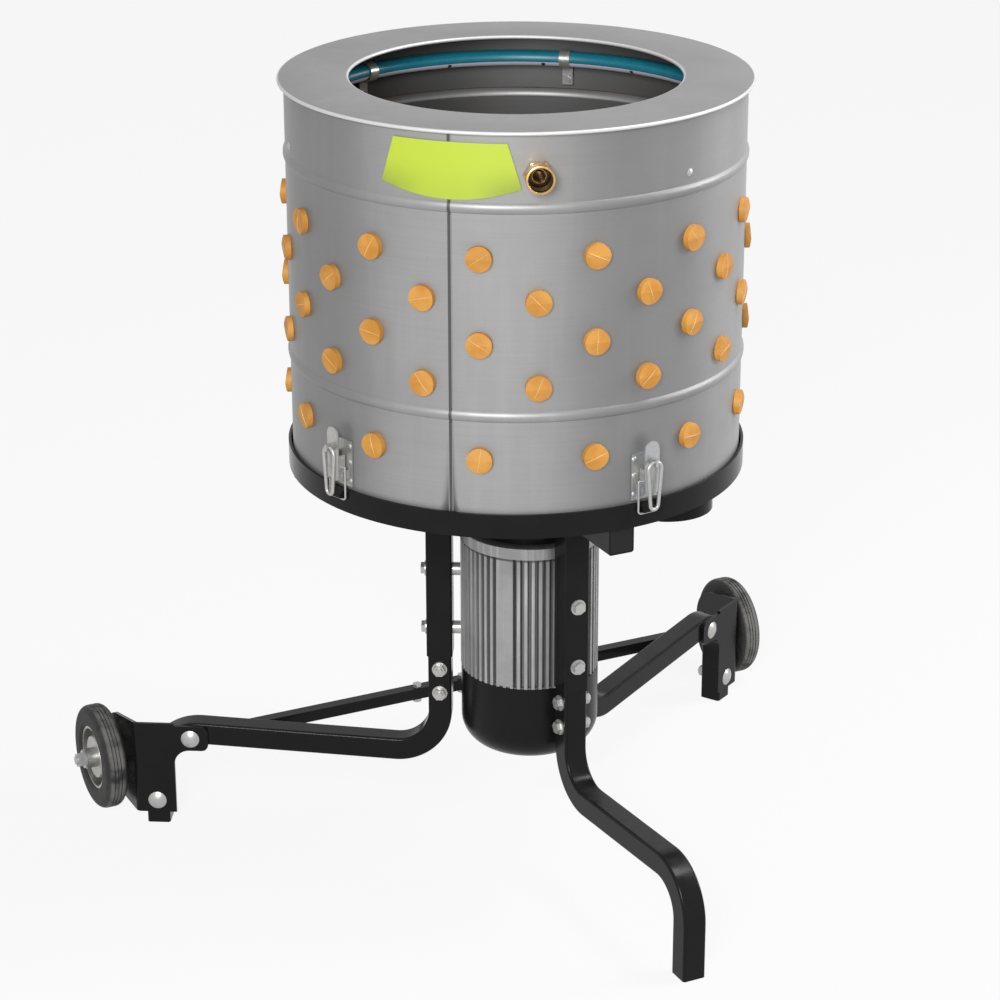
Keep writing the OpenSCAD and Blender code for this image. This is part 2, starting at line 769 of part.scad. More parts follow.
module feather_outlet() color("#222222") round_drum(outlet_angle)
    translate([outlet_reach, 0, pan_z - outlet_len]) tube(outlet_d, outlet_d - 2 * outlet_wall, outlet_len);

post_corner = 3;

module base_beams() color("#222222") for (k = [0 : 2]) round_drum(120 * k)
    translate([beam_start, 0, pan_z - post_w / 2]) rotate([90, 0, 90]) linear_extrude(beam_reach - beam_start)
        tube_section(post_w, post_wall, post_corner);

plug_depth = 12;
plug_gap = 0.1;

// Plug that closes the end of a square tube, drawn along -Z
module tube_plug(w, wall, corner) {
    translate([0, 0, -plug_depth]) linear_extrude(plug_depth)
        round_square(w - 2 * wall - 2 * plug_gap, max(corner - wall, 0.5));
}

module tube_plugs() color("#181818") {
    for (k = [0 : 2]) round_drum(120 * k) translate([beam_reach, 0, pan_z - post_w / 2]) along_x() rotate(90)
        tube_plug(post_w, post_wall, post_corner);
    for (k = [0 : 2]) round_motor(leg_angles[k])
        translate([k == 0 ? front_reach : wheel_leg_reach, 0, 0]) mirror([0, 0, 1])
            tube_plug(leg_w, leg_wall, leg_corner);
}

// Posts and legs

module at_motor_bolts() {
    for (angle = leg_angles, z = [upper_bolt_z, lower_bolt_z])
        round_motor(angle) translate([post_reach + post_w / 2, 0, z]) children();
}

module at_leg_bolts() {
    for (angle = leg_angles, z = [upper_leg_bolt, lower_leg_bolt])
        round_motor(angle) translate([post_reach, -leg_half, z]) children();
}

spigot_low = post_low - spigot_len;
stop_h = 20;

module posts() color("#222222") difference() {
    for (angle = leg_angles) round_motor(angle) translate([post_reach, 0, 0]) {
        translate([0, 0, post_low]) linear_extrude(post_high - post_low)
            tube_section(post_w, post_wall, post_corner);
        translate([0, 0, post_low]) linear_extrude(stop_h) square(post_w - post_wall, center = true);
        translate([0, 0, spigot_low]) linear_extrude(spigot_len + 1) square(spigot_w, center = true);
    }
    at_motor_bolts() translate([-2 * post_w, 0, 0]) along_x()
        cylinder(r = bolt_d / 2 + bolt_gap, h = 3 * post_w);
    at_leg_bolts() translate([0, -leg_w, 0]) rotate([-90, 0, 0])
        cylinder(r = bolt_d / 2 + bolt_gap, h = 3 * leg_w);
}

// Straight piece of leg tube along +Z
module leg_run(length) linear_extrude(length) tube_section(leg_w, leg_wall, leg_corner);

// Bend of leg tube that starts along +Z and turns towards +X
module leg_bend(angle) translate([bend_r, 0, 0]) rotate([90, 0, 0]) rotate(180 - angle)
    rotate_extrude(angle = angle) translate([bend_r, 0]) tube_section(leg_w, leg_wall, leg_corner);

// Place and heading at the end of such a bend
module after_bend(angle) translate([bend_r, 0, 0]) rotate([0, angle, 0])
    translate([-bend_r, 0, 0]) children();

// Thin seam that makes a straight piece and a bend one solid
seam_len = 1;
seam_skin = 0.02;

module leg_seam() translate([0, 0, -seam_len / 2]) linear_extrude(seam_len)
    tube_section(leg_w + 2 * seam_skin, leg_wall + 2 * seam_skin, leg_corner);

// Leg in the XZ plane, from its spigot down, out along the run and down to its foot
module leg(reach) {
    turn = 90 + run_slope;
    span = reach - post_reach - 2 * bend_r * (1 + sin(run_slope));
    run = span / cos(run_slope);
    drop = post_low - run_z - bend_r * cos(run_slope);
    foot = run_z + run * sin(run_slope) - bend_r * cos(run_slope);
    translate([post_reach, 0, post_low]) mirror([0, 0, 1]) {
        leg_run(drop);
        translate([0, 0, drop]) {
            leg_bend(turn);
            after_bend(turn) {
                leg_seam();
                leg_run(run);
                translate([0, 0, run]) mirror([1, 0, 0]) {
                    leg_seam();
                    leg_bend(turn);
                    after_bend(turn) {
                        leg_seam();
                        leg_run(foot);
                    }
                }
            }
        }
    }
}

module bored_leg(angle, reach) difference() {
    round_motor(angle) leg(reach);
    at_leg_bolts() translate([0, -leg_w, 0]) rotate([-90, 0, 0])
        cylinder(r = bolt_d / 2 + bolt_gap, h = 3 * leg_w);
    at_bracket_bolts() translate([0, 0, -2 * leg_w]) cylinder(r = bolt_d / 2 + bolt_gap, h = 3 * leg_w);
}

module front_leg() color("#222222") bored_leg(leg_angles[0], front_reach);
module right_leg() color("#222222") bored_leg(leg_angles[1], wheel_leg_reach);
module left_leg() color("#222222") bored_leg(leg_angles[2], wheel_leg_reach);

brace_bolt_x = 60;

// The brace ends on the inner faces of the wheel legs
module brace_bar() color("#222222") {
    slope = leg_angles[1];
    apex = leg_half / cos(slope);
    difference() {
        intersection() {
            translate([-wheel_x, motor_y + brace_y - brace_w / 2, brace_z])
                cube([2 * wheel_x, brace_w, brace_w]);
            translate([0, motor_y, 0]) linear_extrude(2 * brace_z) polygon([
                [0, apex], [wheel_x, apex + wheel_x * tan(slope)], [-wheel_x, apex + wheel_x * tan(slope)]]);
        }
        for (k = [-1 : 1]) translate([k * brace_bolt_x, motor_y + brace_y, brace_z - 1])
            cylinder(r = small_d / 2 + bolt_gap, h = brace_w + 2);
    }
}

module brace_bolts() for (k = [-1 : 1])
    translate([k * brace_bolt_x, motor_y + brace_y, brace_z + brace_w]) {
        hexagon(small_d * 1.65, small_d * 0.65);
        translate([0, 0, -brace_w - small_d]) cylinder(d = small_d, h = brace_w + small_d + eps);
    }

module small_bolts() color("silver") {
    pan_bolts();
    brace_bolts();
}

module motor_bolts() color("silver") at_motor_bolts() along_x()
    flange_bolt(bolt_d, post_w + post_reach - post_w / 2 - motor_r + bolt_bite);

module motor_spacers() color("gainsboro") at_motor_bolts() {
    gap = post_reach - post_w / 2 - motor_r;
    translate([-post_w - gap, 0, 0]) along_x() tube(bolt_d * 1.9, bolt_d + 2 * bolt_gap, gap);
}

module leg_bolts() color("silver") at_leg_bolts() rotate([90, 0, 0]) flange_bolt(bolt_d, leg_w + bolt_d + 2);

module frame_nuts() color("silver") {
    at_leg_bolts() translate([0, leg_w, 0]) rotate([-90, 0, 0]) flange_nut(bolt_d);
    at_bracket_bolts() translate([0, 0, -bracket_t - leg_w]) mirror([0, 0, 1]) flange_nut(bolt_d);
    for (k = [-1 : 1]) translate([k * brace_bolt_x, motor_y + brace_y, brace_z]) mirror([0, 0, 1])
        difference() {
            hexagon(small_d * 1.65, small_d * 0.8);
            translate([0, 0, -1]) cylinder(r = small_d / 2 + bolt_gap / 2, h = small_d + 2);
        }
    for (side = [-1, 1]) translate([side * axle_nut_x, motor_y + wheel_y, wheel_z]) rotate([0, side * 90, 0])
        flange_nut(axle_d);
}

// Wheels and their brackets

bracket_outer = bracket_fold + bracket_t;
bend_centre_t = leg_half - bracket_fold;
fold_x = bracket_bend * cos(leg_angles[1]) + bend_centre_t * sin(leg_angles[1]);
fold_y = bracket_bend * sin(leg_angles[1]) - bend_centre_t * cos(leg_angles[1]);
ear_face_x = fold_x + bracket_outer;
hub_gap = 0.3;
axle_nut_x = wheel_x + hub_len / 2 + hub_gap;
upper_bracket_r = wheel_leg_reach - 42;
upper_bracket_z = 112;
lower_bracket_z = 31;

module at_side(side) mirror([side < 0 ? 1 : 0, 0, 0]) children();

// Bolt places on the outer face of the bracket plate, +Z out of the face
module at_bracket_bolts() {
    for (side = [-1, 1], spot = [[upper_bracket_r, upper_bracket_z], [wheel_leg_reach, lower_bracket_z]])
        at_side(side) round_motor(leg_angles[1]) translate([spot[0], -leg_half - bracket_t, spot[1]])
            rotate([90, 0, 0]) children();
}

// Right hand bracket; the left one is its mirror image
module bracket() {
    plate_in = wheel_leg_reach - leg_half - 9;
    arm_in = upper_bracket_r - 21;
    arm_low = upper_bracket_z - 15;
    arm_high = upper_bracket_z + 16;
    fillet = 18;
    height = bracket_high - bracket_low;
    // The ear has two round corners, and its upper edge falls to meet the upper one smoothly
    ear_round = 43;
    ear_mid = wheel_y - 4 - fold_y;
    ear_up = wheel_z + 7;
    ear_down = bracket_low + ear_round;
    ear_drop = bracket_high - ear_up;
    ear_fall = atan2(ear_drop, ear_mid) - asin(ear_round / norm([ear_mid, ear_drop]));
    ear_meet = [ear_mid + ear_round * sin(ear_fall), ear_up + ear_round * cos(ear_fall)];
    fold_seam = 0.4;
    difference() {
        union() {
            round_motor(leg_angles[1]) translate([0, -leg_half, 0]) rotate([90, 0, 0])
                linear_extrude(bracket_t) difference() {
                    union() {
                        translate([plate_in, bracket_low]) square([bracket_bend - plate_in, height]);
                        translate([arm_in + 8, arm_low]) square([plate_in - arm_in, arm_high - arm_low]);
                        translate([arm_in, arm_low + 8]) square([plate_in - arm_in, arm_high - arm_low - 16]);
                        for (z = [arm_low + 8, arm_high - 8]) translate([arm_in + 8, z]) circle(8);
                        translate([plate_in - fillet, arm_low - fillet]) square([fillet + 1, fillet + 1]);
                    }
                    translate([plate_in - fillet, arm_low - fillet]) circle(fillet);
                }
            round_motor(leg_angles[1]) translate([bracket_bend, -bend_centre_t, bracket_low]) rotate(-90)
                rotate_extrude(angle = 60) translate([bracket_fold, 0]) square([bracket_t, height]);
            translate([ear_face_x - bracket_t, motor_y + fold_y, 0]) {
                translate([-seam_skin, -fold_seam / 2, bracket_low - seam_skin])
                    cube([bracket_t + 2 * seam_skin, fold_seam, height + 2 * seam_skin]);
                rotate([90, 0, 90]) linear_extrude(bracket_t) {
                    polygon([[0, bracket_low], [ear_mid, bracket_low], ear_meet, [0, bracket_high]]);
                    translate([ear_mid, ear_down]) square([ear_round, ear_up - ear_down]);
                    for (z = [ear_down, ear_up]) translate([ear_mid, z]) circle(ear_round);
                }
            }
        }
        translate([0, motor_y + wheel_y, wheel_z]) along_x()
            cylinder(r = axle_d / 2 + bolt_gap, h = 2 * wheel_x);
    }
}

module wheel_brackets() color("#222222") difference() {
    for (side = [-1, 1]) at_side(side) bracket();
    at_bracket_bolts() translate([0, 0, -2 * bracket_t])
        cylinder(r = bolt_d / 2 + bolt_gap, h = 3 * bracket_t);
}

module bracket_bolts() at_bracket_bolts()
    carriage_bolt(bolt_d, bracket_t + leg_w + bolt_d + 2, 4);

// Axle bolt with its head behind the bracket, drawn for the right wheel
module axle_bolts() for (side = [-1, 1]) at_side(side)
    translate([ear_face_x - bracket_t, motor_y + wheel_y, wheel_z]) along_x() {
        length = axle_nut_x + axle_d + 2 - ear_face_x + bracket_t;
        mirror([0, 0, 1]) hexagon(axle_d * 1.6, axle_d * 0.64);
        cylinder(d = axle_d, h = length);
        translate([0, 0, bracket_t])
            cylinder(d = axle_d * 2, h = wheel_x - hub_len / 2 - hub_gap - ear_face_x);
    }

module wheel_bolts() color("silver") {
    bracket_bolts();
    axle_bolts();
}

// Places a wheel drawn about +Z
module at_wheel(side) at_side(side) translate([wheel_x, motor_y + wheel_y, wheel_z]) along_x() children();

// Hub on the X axis: rim, dished web and sleeve with an axle bore
module hub(side) color("silver") at_wheel(side) difference() {
    sleeve_r = 12;
    sheet = 3;
    dish = 6;
    rim_r = rim_d / 2;
    rim_half = tyre_w / 2 - 3;
    union() {
        cylinder(r = sleeve_r, h = hub_len, center = true);
        rotate_extrude() polygon([
            [sleeve_r - 1, dish], [rim_r - 14, dish], [rim_r - 8, -dish], [rim_r - sheet, -dish],
            [rim_r - sheet, -rim_half], [rim_r, -rim_half], [rim_r, rim_half], [rim_r - sheet, rim_half],
            [rim_r - sheet, -dish + sheet], [rim_r - 7, -dish + sheet],
            [rim_r - 13, dish + sheet], [sleeve_r - 1, dish + sheet]]);
    }
    cylinder(r = axle_d / 2 + axle_gap, h = 2 * hub_len, center = true);
}

// Solid rubber tyre with ribs round its tread
module tyre(side) color("#333333") at_wheel(side) {
    rib = 1.6;
    groove = 1.2;
    groove_step = 4;
    foot = 4;
    half = tyre_w / 2;
    shoulder = tyre_w / 3;
    rim_r = rim_d / 2;
    side_r = wheel_d / 2 - shoulder;
    rotate_extrude() difference() {
        union() {
            polygon([[rim_r, -half + foot / 2], [rim_r + foot, -half], [side_r, -half],
                [side_r, half], [rim_r + foot, half], [rim_r, half - foot / 2]]);
            translate([rim_r + foot, shoulder - half])
                square([side_r + shoulder - rim_r - foot, tyre_w - 2 * shoulder]);
            for (y = [shoulder - half, half - shoulder]) translate([side_r, y]) circle(shoulder);
        }
        for (k = [-1 : 1])
            translate([wheel_d / 2 - rib, k * groove_step - groove / 2]) square([rib + 1, groove]);
    }
}

module left_hub() hub(-1);
module right_hub() hub(1);
module left_tyre() tyre(-1);
module right_tyre() tyre(1);

// Motor

shaft_low = 150;
bearing_d = 40;
bearing_h = 12;
top_plate_t = 14;
switch_angle = 75;
pad_w = 20;
plain_pad_angle = -138;
pad_lift = 2;
switch_face = motor_r + 1;

fin_taper = 0.65;

// Point at a radius and an angle
function polar(r, a) = [r * cos(a), r * sin(a)];

// Outline of the ribbed motor housing
function fin_outline() = [for (i = [0 : fin_count - 1]) each
    let (a = i * 360 / fin_count, root = fin_w / 2 / fin_root * 180 / PI, tip = root * fin_taper)
        [polar(fin_root, a - root), polar(motor_r, a - tip),
            polar(motor_r, a + tip), polar(fin_root, a + root)]];

module motor_housing() color("gray") difference() {
    translate([0, motor_y, 0]) {
        translate([0, 0, fin_low]) linear_extrude(fin_high - fin_low + eps) polygon(fin_outline());
        translate([0, 0, fin_high]) cylinder(r = motor_r + lip_out, h = lip_h);
        for (angle = concat(leg_angles, [plain_pad_angle])) rotate(angle)
            translate([fin_root - 2, -pad_w / 2, fin_low + pad_lift])
                cube([fin_depth + 2, pad_w, fin_high - fin_low - pad_lift + eps]);
        rotate(switch_angle) translate([fin_root - 12, -switch_w / 2, fin_low + 10])
            cube([switch_face - fin_root + 12, switch_w, switch_h + 6]);
    }
    translate([0, motor_y, fin_low - 1]) cylinder(d = stator_d, h = motor_top - top_plate_t - fin_low + 1);
    translate([0, motor_y, motor_top - bearing_h]) cylinder(r = bearing_d / 2 + shaft_gap, h = bearing_h + 1);
    translate([0, motor_y, motor_top - top_plate_t - 1]) cylinder(d = shaft_d + 6, h = top_plate_t + 2);
    middle_place() translate([0, 0, motor_top - 8]) cylinder(r = middle_d / 2 + shaft_gap, h = 9);
    at_motor_bolts() translate([-post_reach - post_w / 2 + motor_r - bolt_bite - 1, 0, 0]) along_x()
        cylinder(r = bolt_d / 2 + bolt_gap, h = post_reach);
}

shield_t = 10;

module end_shield() color("gray") translate([0, motor_y, fin_low - shield_t]) difference() {
    union() {
        cylinder(d = motor_d - 2 * cover_wall - 1, h = shield_t);
        translate([0, 0, shield_t - eps]) cylinder(d = stator_d - 0.4, h = 6);
    }
    translate([0, 0, -1]) cylinder(r = bearing_d / 2 + shaft_gap, h = bearing_h + 1);
    cylinder(d = shaft_d + 6, h = shield_t + 8);
}

// Cup with a rounded foot
module cup_profile(r, round, h) {
    translate([0, round]) square([r, h - round]);
    square([r - round, h]);
    translate([r - round, round]) circle(round);
}

module fan_cover() color("#202020") translate([0, motor_y, cover_low]) {
    cover_h = fin_low - 0.5 - cover_low;
    slot_count = 16;
    slot_in = 14;
    slot_len = 28;
    slot_w = 4;
    difference() {
        rotate_extrude() difference() {
            intersection() {
                cup_profile(motor_r, cover_round, cover_h);
                square(2 * motor_d);
            }
            translate([0, cover_wall]) intersection() {
                cup_profile(motor_r - cover_wall, cover_round - cover_wall, cover_h + 1);
                square(2 * motor_d);
            }
        }
        for (i = [0 : slot_count - 1]) rotate(i * 360 / slot_count)
            translate([slot_in, -slot_w / 2, -1]) cube([slot_len, slot_w, cover_wall + 2]);
    }
}

module stator() color("sienna") translate([0, motor_y, 0]) {
    low = fin_low + 44;
    high = motor_top - top_plate_t - 34;
    translate([0, 0, low]) tube(stator_d - 0.1, rotor_d + 1.6, high - low);
    for (z = [low - 22, high]) translate([0, 0, z]) tube(stator_d - 14, rotor_d + 12, 22);
}

module bearings() color("silver") {
    translate([0, motor_y, motor_top - bearing_h]) tube(bearing_d, shaft_d + 2 * shaft_gap, bearing_h);
    translate([0, motor_y, fin_low - shield_t]) tube(bearing_d, shaft_d + 2 * shaft_gap, bearing_h - 0.5);
    for (z = output_bearings) translate([drum_x, drum_y, z])
        tube(output_bearing_d, output_d + 2 * shaft_gap, bearing_h);
}

// Gears

pressure = 25;
fine = 1.25;
coarse = 2;
motor_teeth = 13;
wheel_teeth = 34;
middle_teeth = 12;
output_teeth = 23;
middle_d = 12;
first_low = motor_top + 4;
first_h = 14;
second_low = first_low + first_h + 5;
second_h = 20;
output_bearing_d = 47;
output_bearings = [pan_z - bearing_h - 2, pan_z - 2 * bearing_h - 4];
first_gap = fine * (motor_teeth + wheel_teeth) / 2;
second_gap = coarse * (middle_teeth + output_teeth) / 2;

// The middle axis closes the triangle between motor axis and drum axis
middle_turn = acos((first_gap * first_gap + drum_shift * drum_shift - second_gap * second_gap)
    / (2 * first_gap * drum_shift));
middle_angle = leg_angles[2] + middle_turn;
middle_x = first_gap * cos(middle_angle);
middle_y = motor_y + first_gap * sin(middle_angle);
to_output = atan2(drum_y - middle_y, drum_x - middle_x);

module middle_place() translate([middle_x, middle_y, 0]) children();

function involute(a) = tan(a) * 180 / PI - a;

// Outline of a spur gear with one tooth centred on +X and thin teeth for backlash
function gear_outline(m, teeth) =
    let (pitch_r = m * teeth / 2, base_r = pitch_r * cos(pressure), root_r = pitch_r - 1.1 * m,
        tip_r = pitch_r + 0.8 * m, low_r = max(base_r, root_r) + eps,
        half = 90 / teeth - 0.1 * m / pitch_r * 180 / PI, steps = 4,
        flank = [for (i = [0 : steps]) let (r = low_r + (tip_r - low_r) * i / steps)
            [r, half + involute(pressure) - involute(acos(base_r / r))]],
        side = concat([[root_r, flank[0][1]]], flank))
    [for (t = [0 : teeth - 1]) each concat(
        [for (p = side) polar(p[0], t * 360 / teeth - p[1])],
        [for (i = [steps + 1 : -1 : 0]) let (p = side[i]) polar(p[0], t * 360 / teeth + p[1])])];

module gear(m, teeth, h) linear_extrude(h) polygon(gear_outline(m, teeth));

module motor_shaft() color("silver") translate([0, motor_y, 0]) {
    translate([0, 0, shaft_low]) cylinder(d = shaft_d, h = motor_top + 2 - shaft_low);
    translate([0, 0, motor_top + 1]) cylinder(d = 11, h = first_low - motor_top);
    translate([0, 0, first_low]) rotate(middle_angle) gear(fine, motor_teeth, first_h);
}

module middle_gear() color("silver") middle_place() {
    translate([0, 0, motor_top - 7]) cylinder(d = middle_d, h = pan_z - 4 - motor_top + 7 - 6);
    translate([0, 0, first_low + 0.5]) rotate(middle_angle + 180 + 180 / wheel_teeth)
        gear(fine, wheel_teeth, first_h - 1);
    translate([0, 0, second_low]) rotate(to_output) gear(coarse, middle_teeth, second_h);
}

module output_shaft() color("silver") translate([drum_x, drum_y, 0]) {
    translate([0, 0, second_low]) rotate(to_output + 180 + 180 / output_teeth)
        gear(coarse, output_teeth, second_h - 1);
    translate([0, 0, second_low - 1]) cylinder(d = output_d, h = plate_z - second_low + 1);
    translate([0, 0, plate_z - 1]) cylinder(d = output_d - 7, h = plate_t + 22);
}

module gear_housing() color("#202020") difference() {
    cavity_top = second_low + second_h + 3;
    translate([0, motor_y, motor_top]) cylinder(d = gearbox_d, h = pan_z - motor_top);
    translate([0, motor_y, motor_top - 1])
        cylinder(d = gearbox_d - 2 * gearbox_wall, h = cavity_top - motor_top + 1);
    translate([drum_x, drum_y, output_bearings[0]]) cylinder(r = output_bearing_d / 2 + shaft_gap, h = pan_z);
    translate([drum_x, drum_y, cavity_top - 1])
        cylinder(r = output_bearing_d / 2 + shaft_gap, h = output_bearings[1] + bearing_h - cavity_top + 1);
    translate([drum_x, drum_y, motor_top]) cylinder(d = output_d + 6, h = pan_z);
    middle_place() translate([0, 0, motor_top])
        cylinder(r = middle_d / 2 + shaft_gap, h = pan_z - 8 - motor_top);
}

rotor_lift = 40;
rotor_drop = 30;

module rotor_core() color("slategray") translate([0, motor_y, fin_low + rotor_lift])
    tube(rotor_d, shaft_d, motor_top - top_plate_t - rotor_drop - fin_low - rotor_lift);

fan_hub_d = 34;
fan_h = 30;
blade_count = 8;
blade_t = 2;
blade_lap = 2;
disc_t = 3;

module cooling_fan() color("dimgray") translate([0, motor_y, shaft_low + 4]) {
    fan_d = motor_d - 2 * cover_wall - cover_round;
    blade_in = fan_hub_d / 2 - blade_lap;
    tube(fan_hub_d, shaft_d, fan_h);
    for (i = [0 : blade_count - 1]) rotate(i * 360 / blade_count) translate([blade_in, -blade_t / 2, 0])
        cube([fan_d / 2 - blade_in, blade_t, fan_h - blade_lap]);
    translate([0, 0, fan_h - disc_t - 1]) tube(fan_d, fan_hub_d - blade_lap, disc_t);
}

// Feather plate

module at_plate_fingers() {
    for (i = [0 : inner_count - 1]) translate([drum_x, drum_y, plate_z]) rotate(i * 360 / inner_count)
        translate([inner_ring, 0, 0]) children();
    for (i = [0 : outer_count - 1]) translate([drum_x, drum_y, plate_z]) rotate((i + 0.5) * 360 / outer_count)
        translate([outer_ring, 0, 0]) children();
}

module feather_plate() color("lightgray") difference() {
    translate([drum_x, drum_y, plate_z]) {
        cylinder(d = plate_d, h = plate_t);
        translate([0, 0, -6]) cylinder(d = hub_d, h = 6 + eps);
        rotate_extrude() translate([plate_d / 2 - 2, plate_t / 2]) circle(d = plate_t + 1);
    }
    translate([drum_x, drum_y, plate_z - 10]) cylinder(d = output_d, h = 10);
    translate([drum_x, drum_y, plate_z - 1]) cylinder(d = output_d - 7, h = plate_t + 2);
    at_plate_fingers() translate([0, 0, -10]) cylinder(r = neck_d / 2 + neck_gap, h = 20);
}

module plate_fingers() color("orange") at_plate_fingers() mirror([0, 0, 1]) finger(plate_t);

module plate_nut() color("silver") translate([drum_x, drum_y, plate_z + plate_t]) difference() {
    union() {
        cylinder(d = 46, h = 3);
        hexagon(27, 16);
    }
    translate([0, 0, -1]) cylinder(d = output_d - 7, h = 18);
}

// Switch

switch_z = fin_low + 13;
button_gap = 0.3;
button_z = [switch_z + switch_h * 0.3, switch_z + switch_h * 0.7];

module switch_place() round_motor(switch_angle) translate([switch_face, 0, 0]) children();

module switch_box() color("#202020") switch_place() difference() {
    wall = 3;
    translate([0, -switch_w / 2, switch_z]) cube([switch_depth, switch_w, switch_h]);
    translate([wall, -switch_w / 2 + wall, switch_z + wall])
        cube([switch_depth - 2 * wall, switch_w - 2 * wall, switch_h - 2 * wall]);
    for (z = button_z) translate([switch_depth - wall - 1, 0, z]) along_x()
        cylinder(r = button_d / 2 + button_gap, h = wall + 2);
    translate([switch_depth / 2, 0, switch_z - 1]) cylinder(r = 8 + bolt_gap, h = wall + 2);
}

// Push button with a collar inside the box
module button(z) switch_place() translate([switch_depth, 0, z]) along_x() {
    rise = button_travel + 3;
    translate([0, 0, -3 - button_gap]) cylinder(d = button_d, h = 3 + button_gap + rise);
    translate([0, 0, -3 - button_gap - 3]) cylinder(d = button_d + 5, h = 3);
    translate([0, 0, -switch_depth + 3 + button_travel + button_gap])
        cylinder(d = 8, h = switch_depth - 6 - button_travel - button_gap);
}

module start_button() color("green") button(button_z[1]);
module stop_button() color("red") button(button_z[0]);

module cable_gland() color("#202020") switch_place() translate([switch_depth / 2, 0, switch_z]) difference() {
    union() {
        cylinder(r = 8, h = 6);
        translate([0, 0, -6]) hexagon(20, 6);
        translate([0, 0, -18]) cylinder(d = 17, h = 13);
    }
    translate([0, 0, -20]) cylinder(d = 8, h = 30);
}

module lever_1() lever(latch_angles[0]);
module lever_2() lever(latch_angles[1]);
module lever_3() lever(latch_angles[2]);
module lever_4() lever(latch_angles[3]);
module bail_1() bail(latch_angles[0]);
module bail_2() bail(latch_angles[1]);
module bail_3() bail(latch_angles[2]);
module bail_4() bail(latch_angles[3]);
module snap_ring_1() snap_ring(latch_angles[0]);
module snap_ring_2() snap_ring(latch_angles[1]);
module snap_ring_3() snap_ring(latch_angles[2]);
module snap_ring_4() snap_ring(latch_angles[3]);

drum_shell();
top_flange();
drum_fingers();
badge_plate();
spray_hose();
hose_clips();
rivets();
hose_fitting();
latch_bases();
base_pan();
latch_catches();
small_bolts();
feather_outlet();
base_beams();
tube_plugs();
posts();
front_leg();
left_leg();
right_leg();
brace_bar();
motor_bolts();
motor_spacers();
leg_bolts();
frame_nuts();
wheel_brackets();
wheel_bolts();
motor_housing();
end_shield();
fan_cover();
stator();
bearings();
gear_housing();
switch_box();
cable_gland();
motor_shaft();
rotor_core();
cooling_fan();
middle_gear();
output_shaft();
feather_plate();
plate_fingers();
plate_nut();
start_button();
stop_button();
left_hub();
left_tyre();
right_hub();
right_tyre();
lever_1();
lever_2();
lever_3();
lever_4();
bail_1();
bail_2();
bail_3();
bail_4();
snap_ring_1();
snap_ring_2();
snap_ring_3();
snap_ring_4();
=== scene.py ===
# %% [markdown]
# A drum plucker, dressed from its solids
#
# The solids of the machine come in as a fixed frame, in metres, with the floor at z = 0.
# They already have the right shapes and places, so this lesson does what solids can't:
# it gives each sheet, casting and rubber piece its finish, adds the small forms that a
# maker leaves on a real machine, such as welds and threads, and sets up a studio.

# %% The frame and its box
import bpy
import bmesh
from math import radians, cos, sin, pi, tau
from mathutils import Matrix, Vector


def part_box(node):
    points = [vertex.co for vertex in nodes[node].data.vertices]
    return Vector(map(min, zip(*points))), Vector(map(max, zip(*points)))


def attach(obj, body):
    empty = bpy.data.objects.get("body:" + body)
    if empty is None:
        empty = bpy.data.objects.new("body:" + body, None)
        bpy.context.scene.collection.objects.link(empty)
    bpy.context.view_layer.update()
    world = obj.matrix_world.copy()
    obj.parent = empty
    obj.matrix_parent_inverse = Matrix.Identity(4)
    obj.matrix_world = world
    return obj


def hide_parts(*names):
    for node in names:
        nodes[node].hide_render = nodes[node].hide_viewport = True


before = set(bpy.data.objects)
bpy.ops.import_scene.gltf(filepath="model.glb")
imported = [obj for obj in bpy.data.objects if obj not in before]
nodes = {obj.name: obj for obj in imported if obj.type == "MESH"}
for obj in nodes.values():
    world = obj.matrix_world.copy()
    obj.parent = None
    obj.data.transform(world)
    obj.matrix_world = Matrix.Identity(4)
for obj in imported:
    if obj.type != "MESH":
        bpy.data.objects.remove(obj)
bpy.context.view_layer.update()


def rounded(values, digits=4):
    return tuple(round(value, digits) for value in values)


# %% [markdown]
# Places that the finishes and the new pieces need
#
# The drum and the motor are round, and many patterns follow their axes. Both axes are
# read from the boxes of round solids, so they stay true if the solids move. The drum's
# radius is written down, because its beads stand out past it and make its box too wide.

# %% Axes of the drum and the motor
def middle(node):
    low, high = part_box(node)
    return (low + high) / 2


drum_axis = middle("drum_shell")
motor_axis = middle("rotor_core")
pan_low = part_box("base_pan")[0].z
drum_r = 0.250
print("drum axis:", rounded(drum_axis.xy), "motor axis:", rounded(motor_axis.xy))

# %% [markdown]
# The camera
#
# The machine was photographed from a standing person's height, from its front left, with
# a long lens, so the drum stays almost straight sided. A camera can be turned by eye, but
# here its heading and dip were measured from the ellipses of the drum, and are written down.

# %% Camera at the photograph's place
view_heading = radians(63.72)
view_dip = radians(21.414)
view_roll = radians(-0.104)
camera_place = Vector((-1.4295, -2.7908, 1.6556))

camera_data = bpy.data.cameras.new("camera")
camera_data.sensor_width = 36.0
camera_data.lens = 107.75
camera = bpy.data.objects.new("camera", camera_data)
aim = Matrix.Rotation(view_heading - pi / 2, 4, "Z") @ Matrix.Rotation(pi / 2 - view_dip, 4, "X")
camera.matrix_world = Matrix.Translation(camera_place) @ aim @ Matrix.Rotation(view_roll, 4, "Z")
bpy.context.scene.collection.objects.link(camera)
bpy.context.scene.camera = camera
print("camera at", rounded(camera_place))

# %% [markdown]
# Writing shader maths as Python
#
# A procedural finish is a tree of nodes, and drawing it with many lines of links is hard
# to read. One small class holds a socket of the tree. Adding or multiplying such sockets
# adds Math nodes, and its node method makes every other node, settings first.

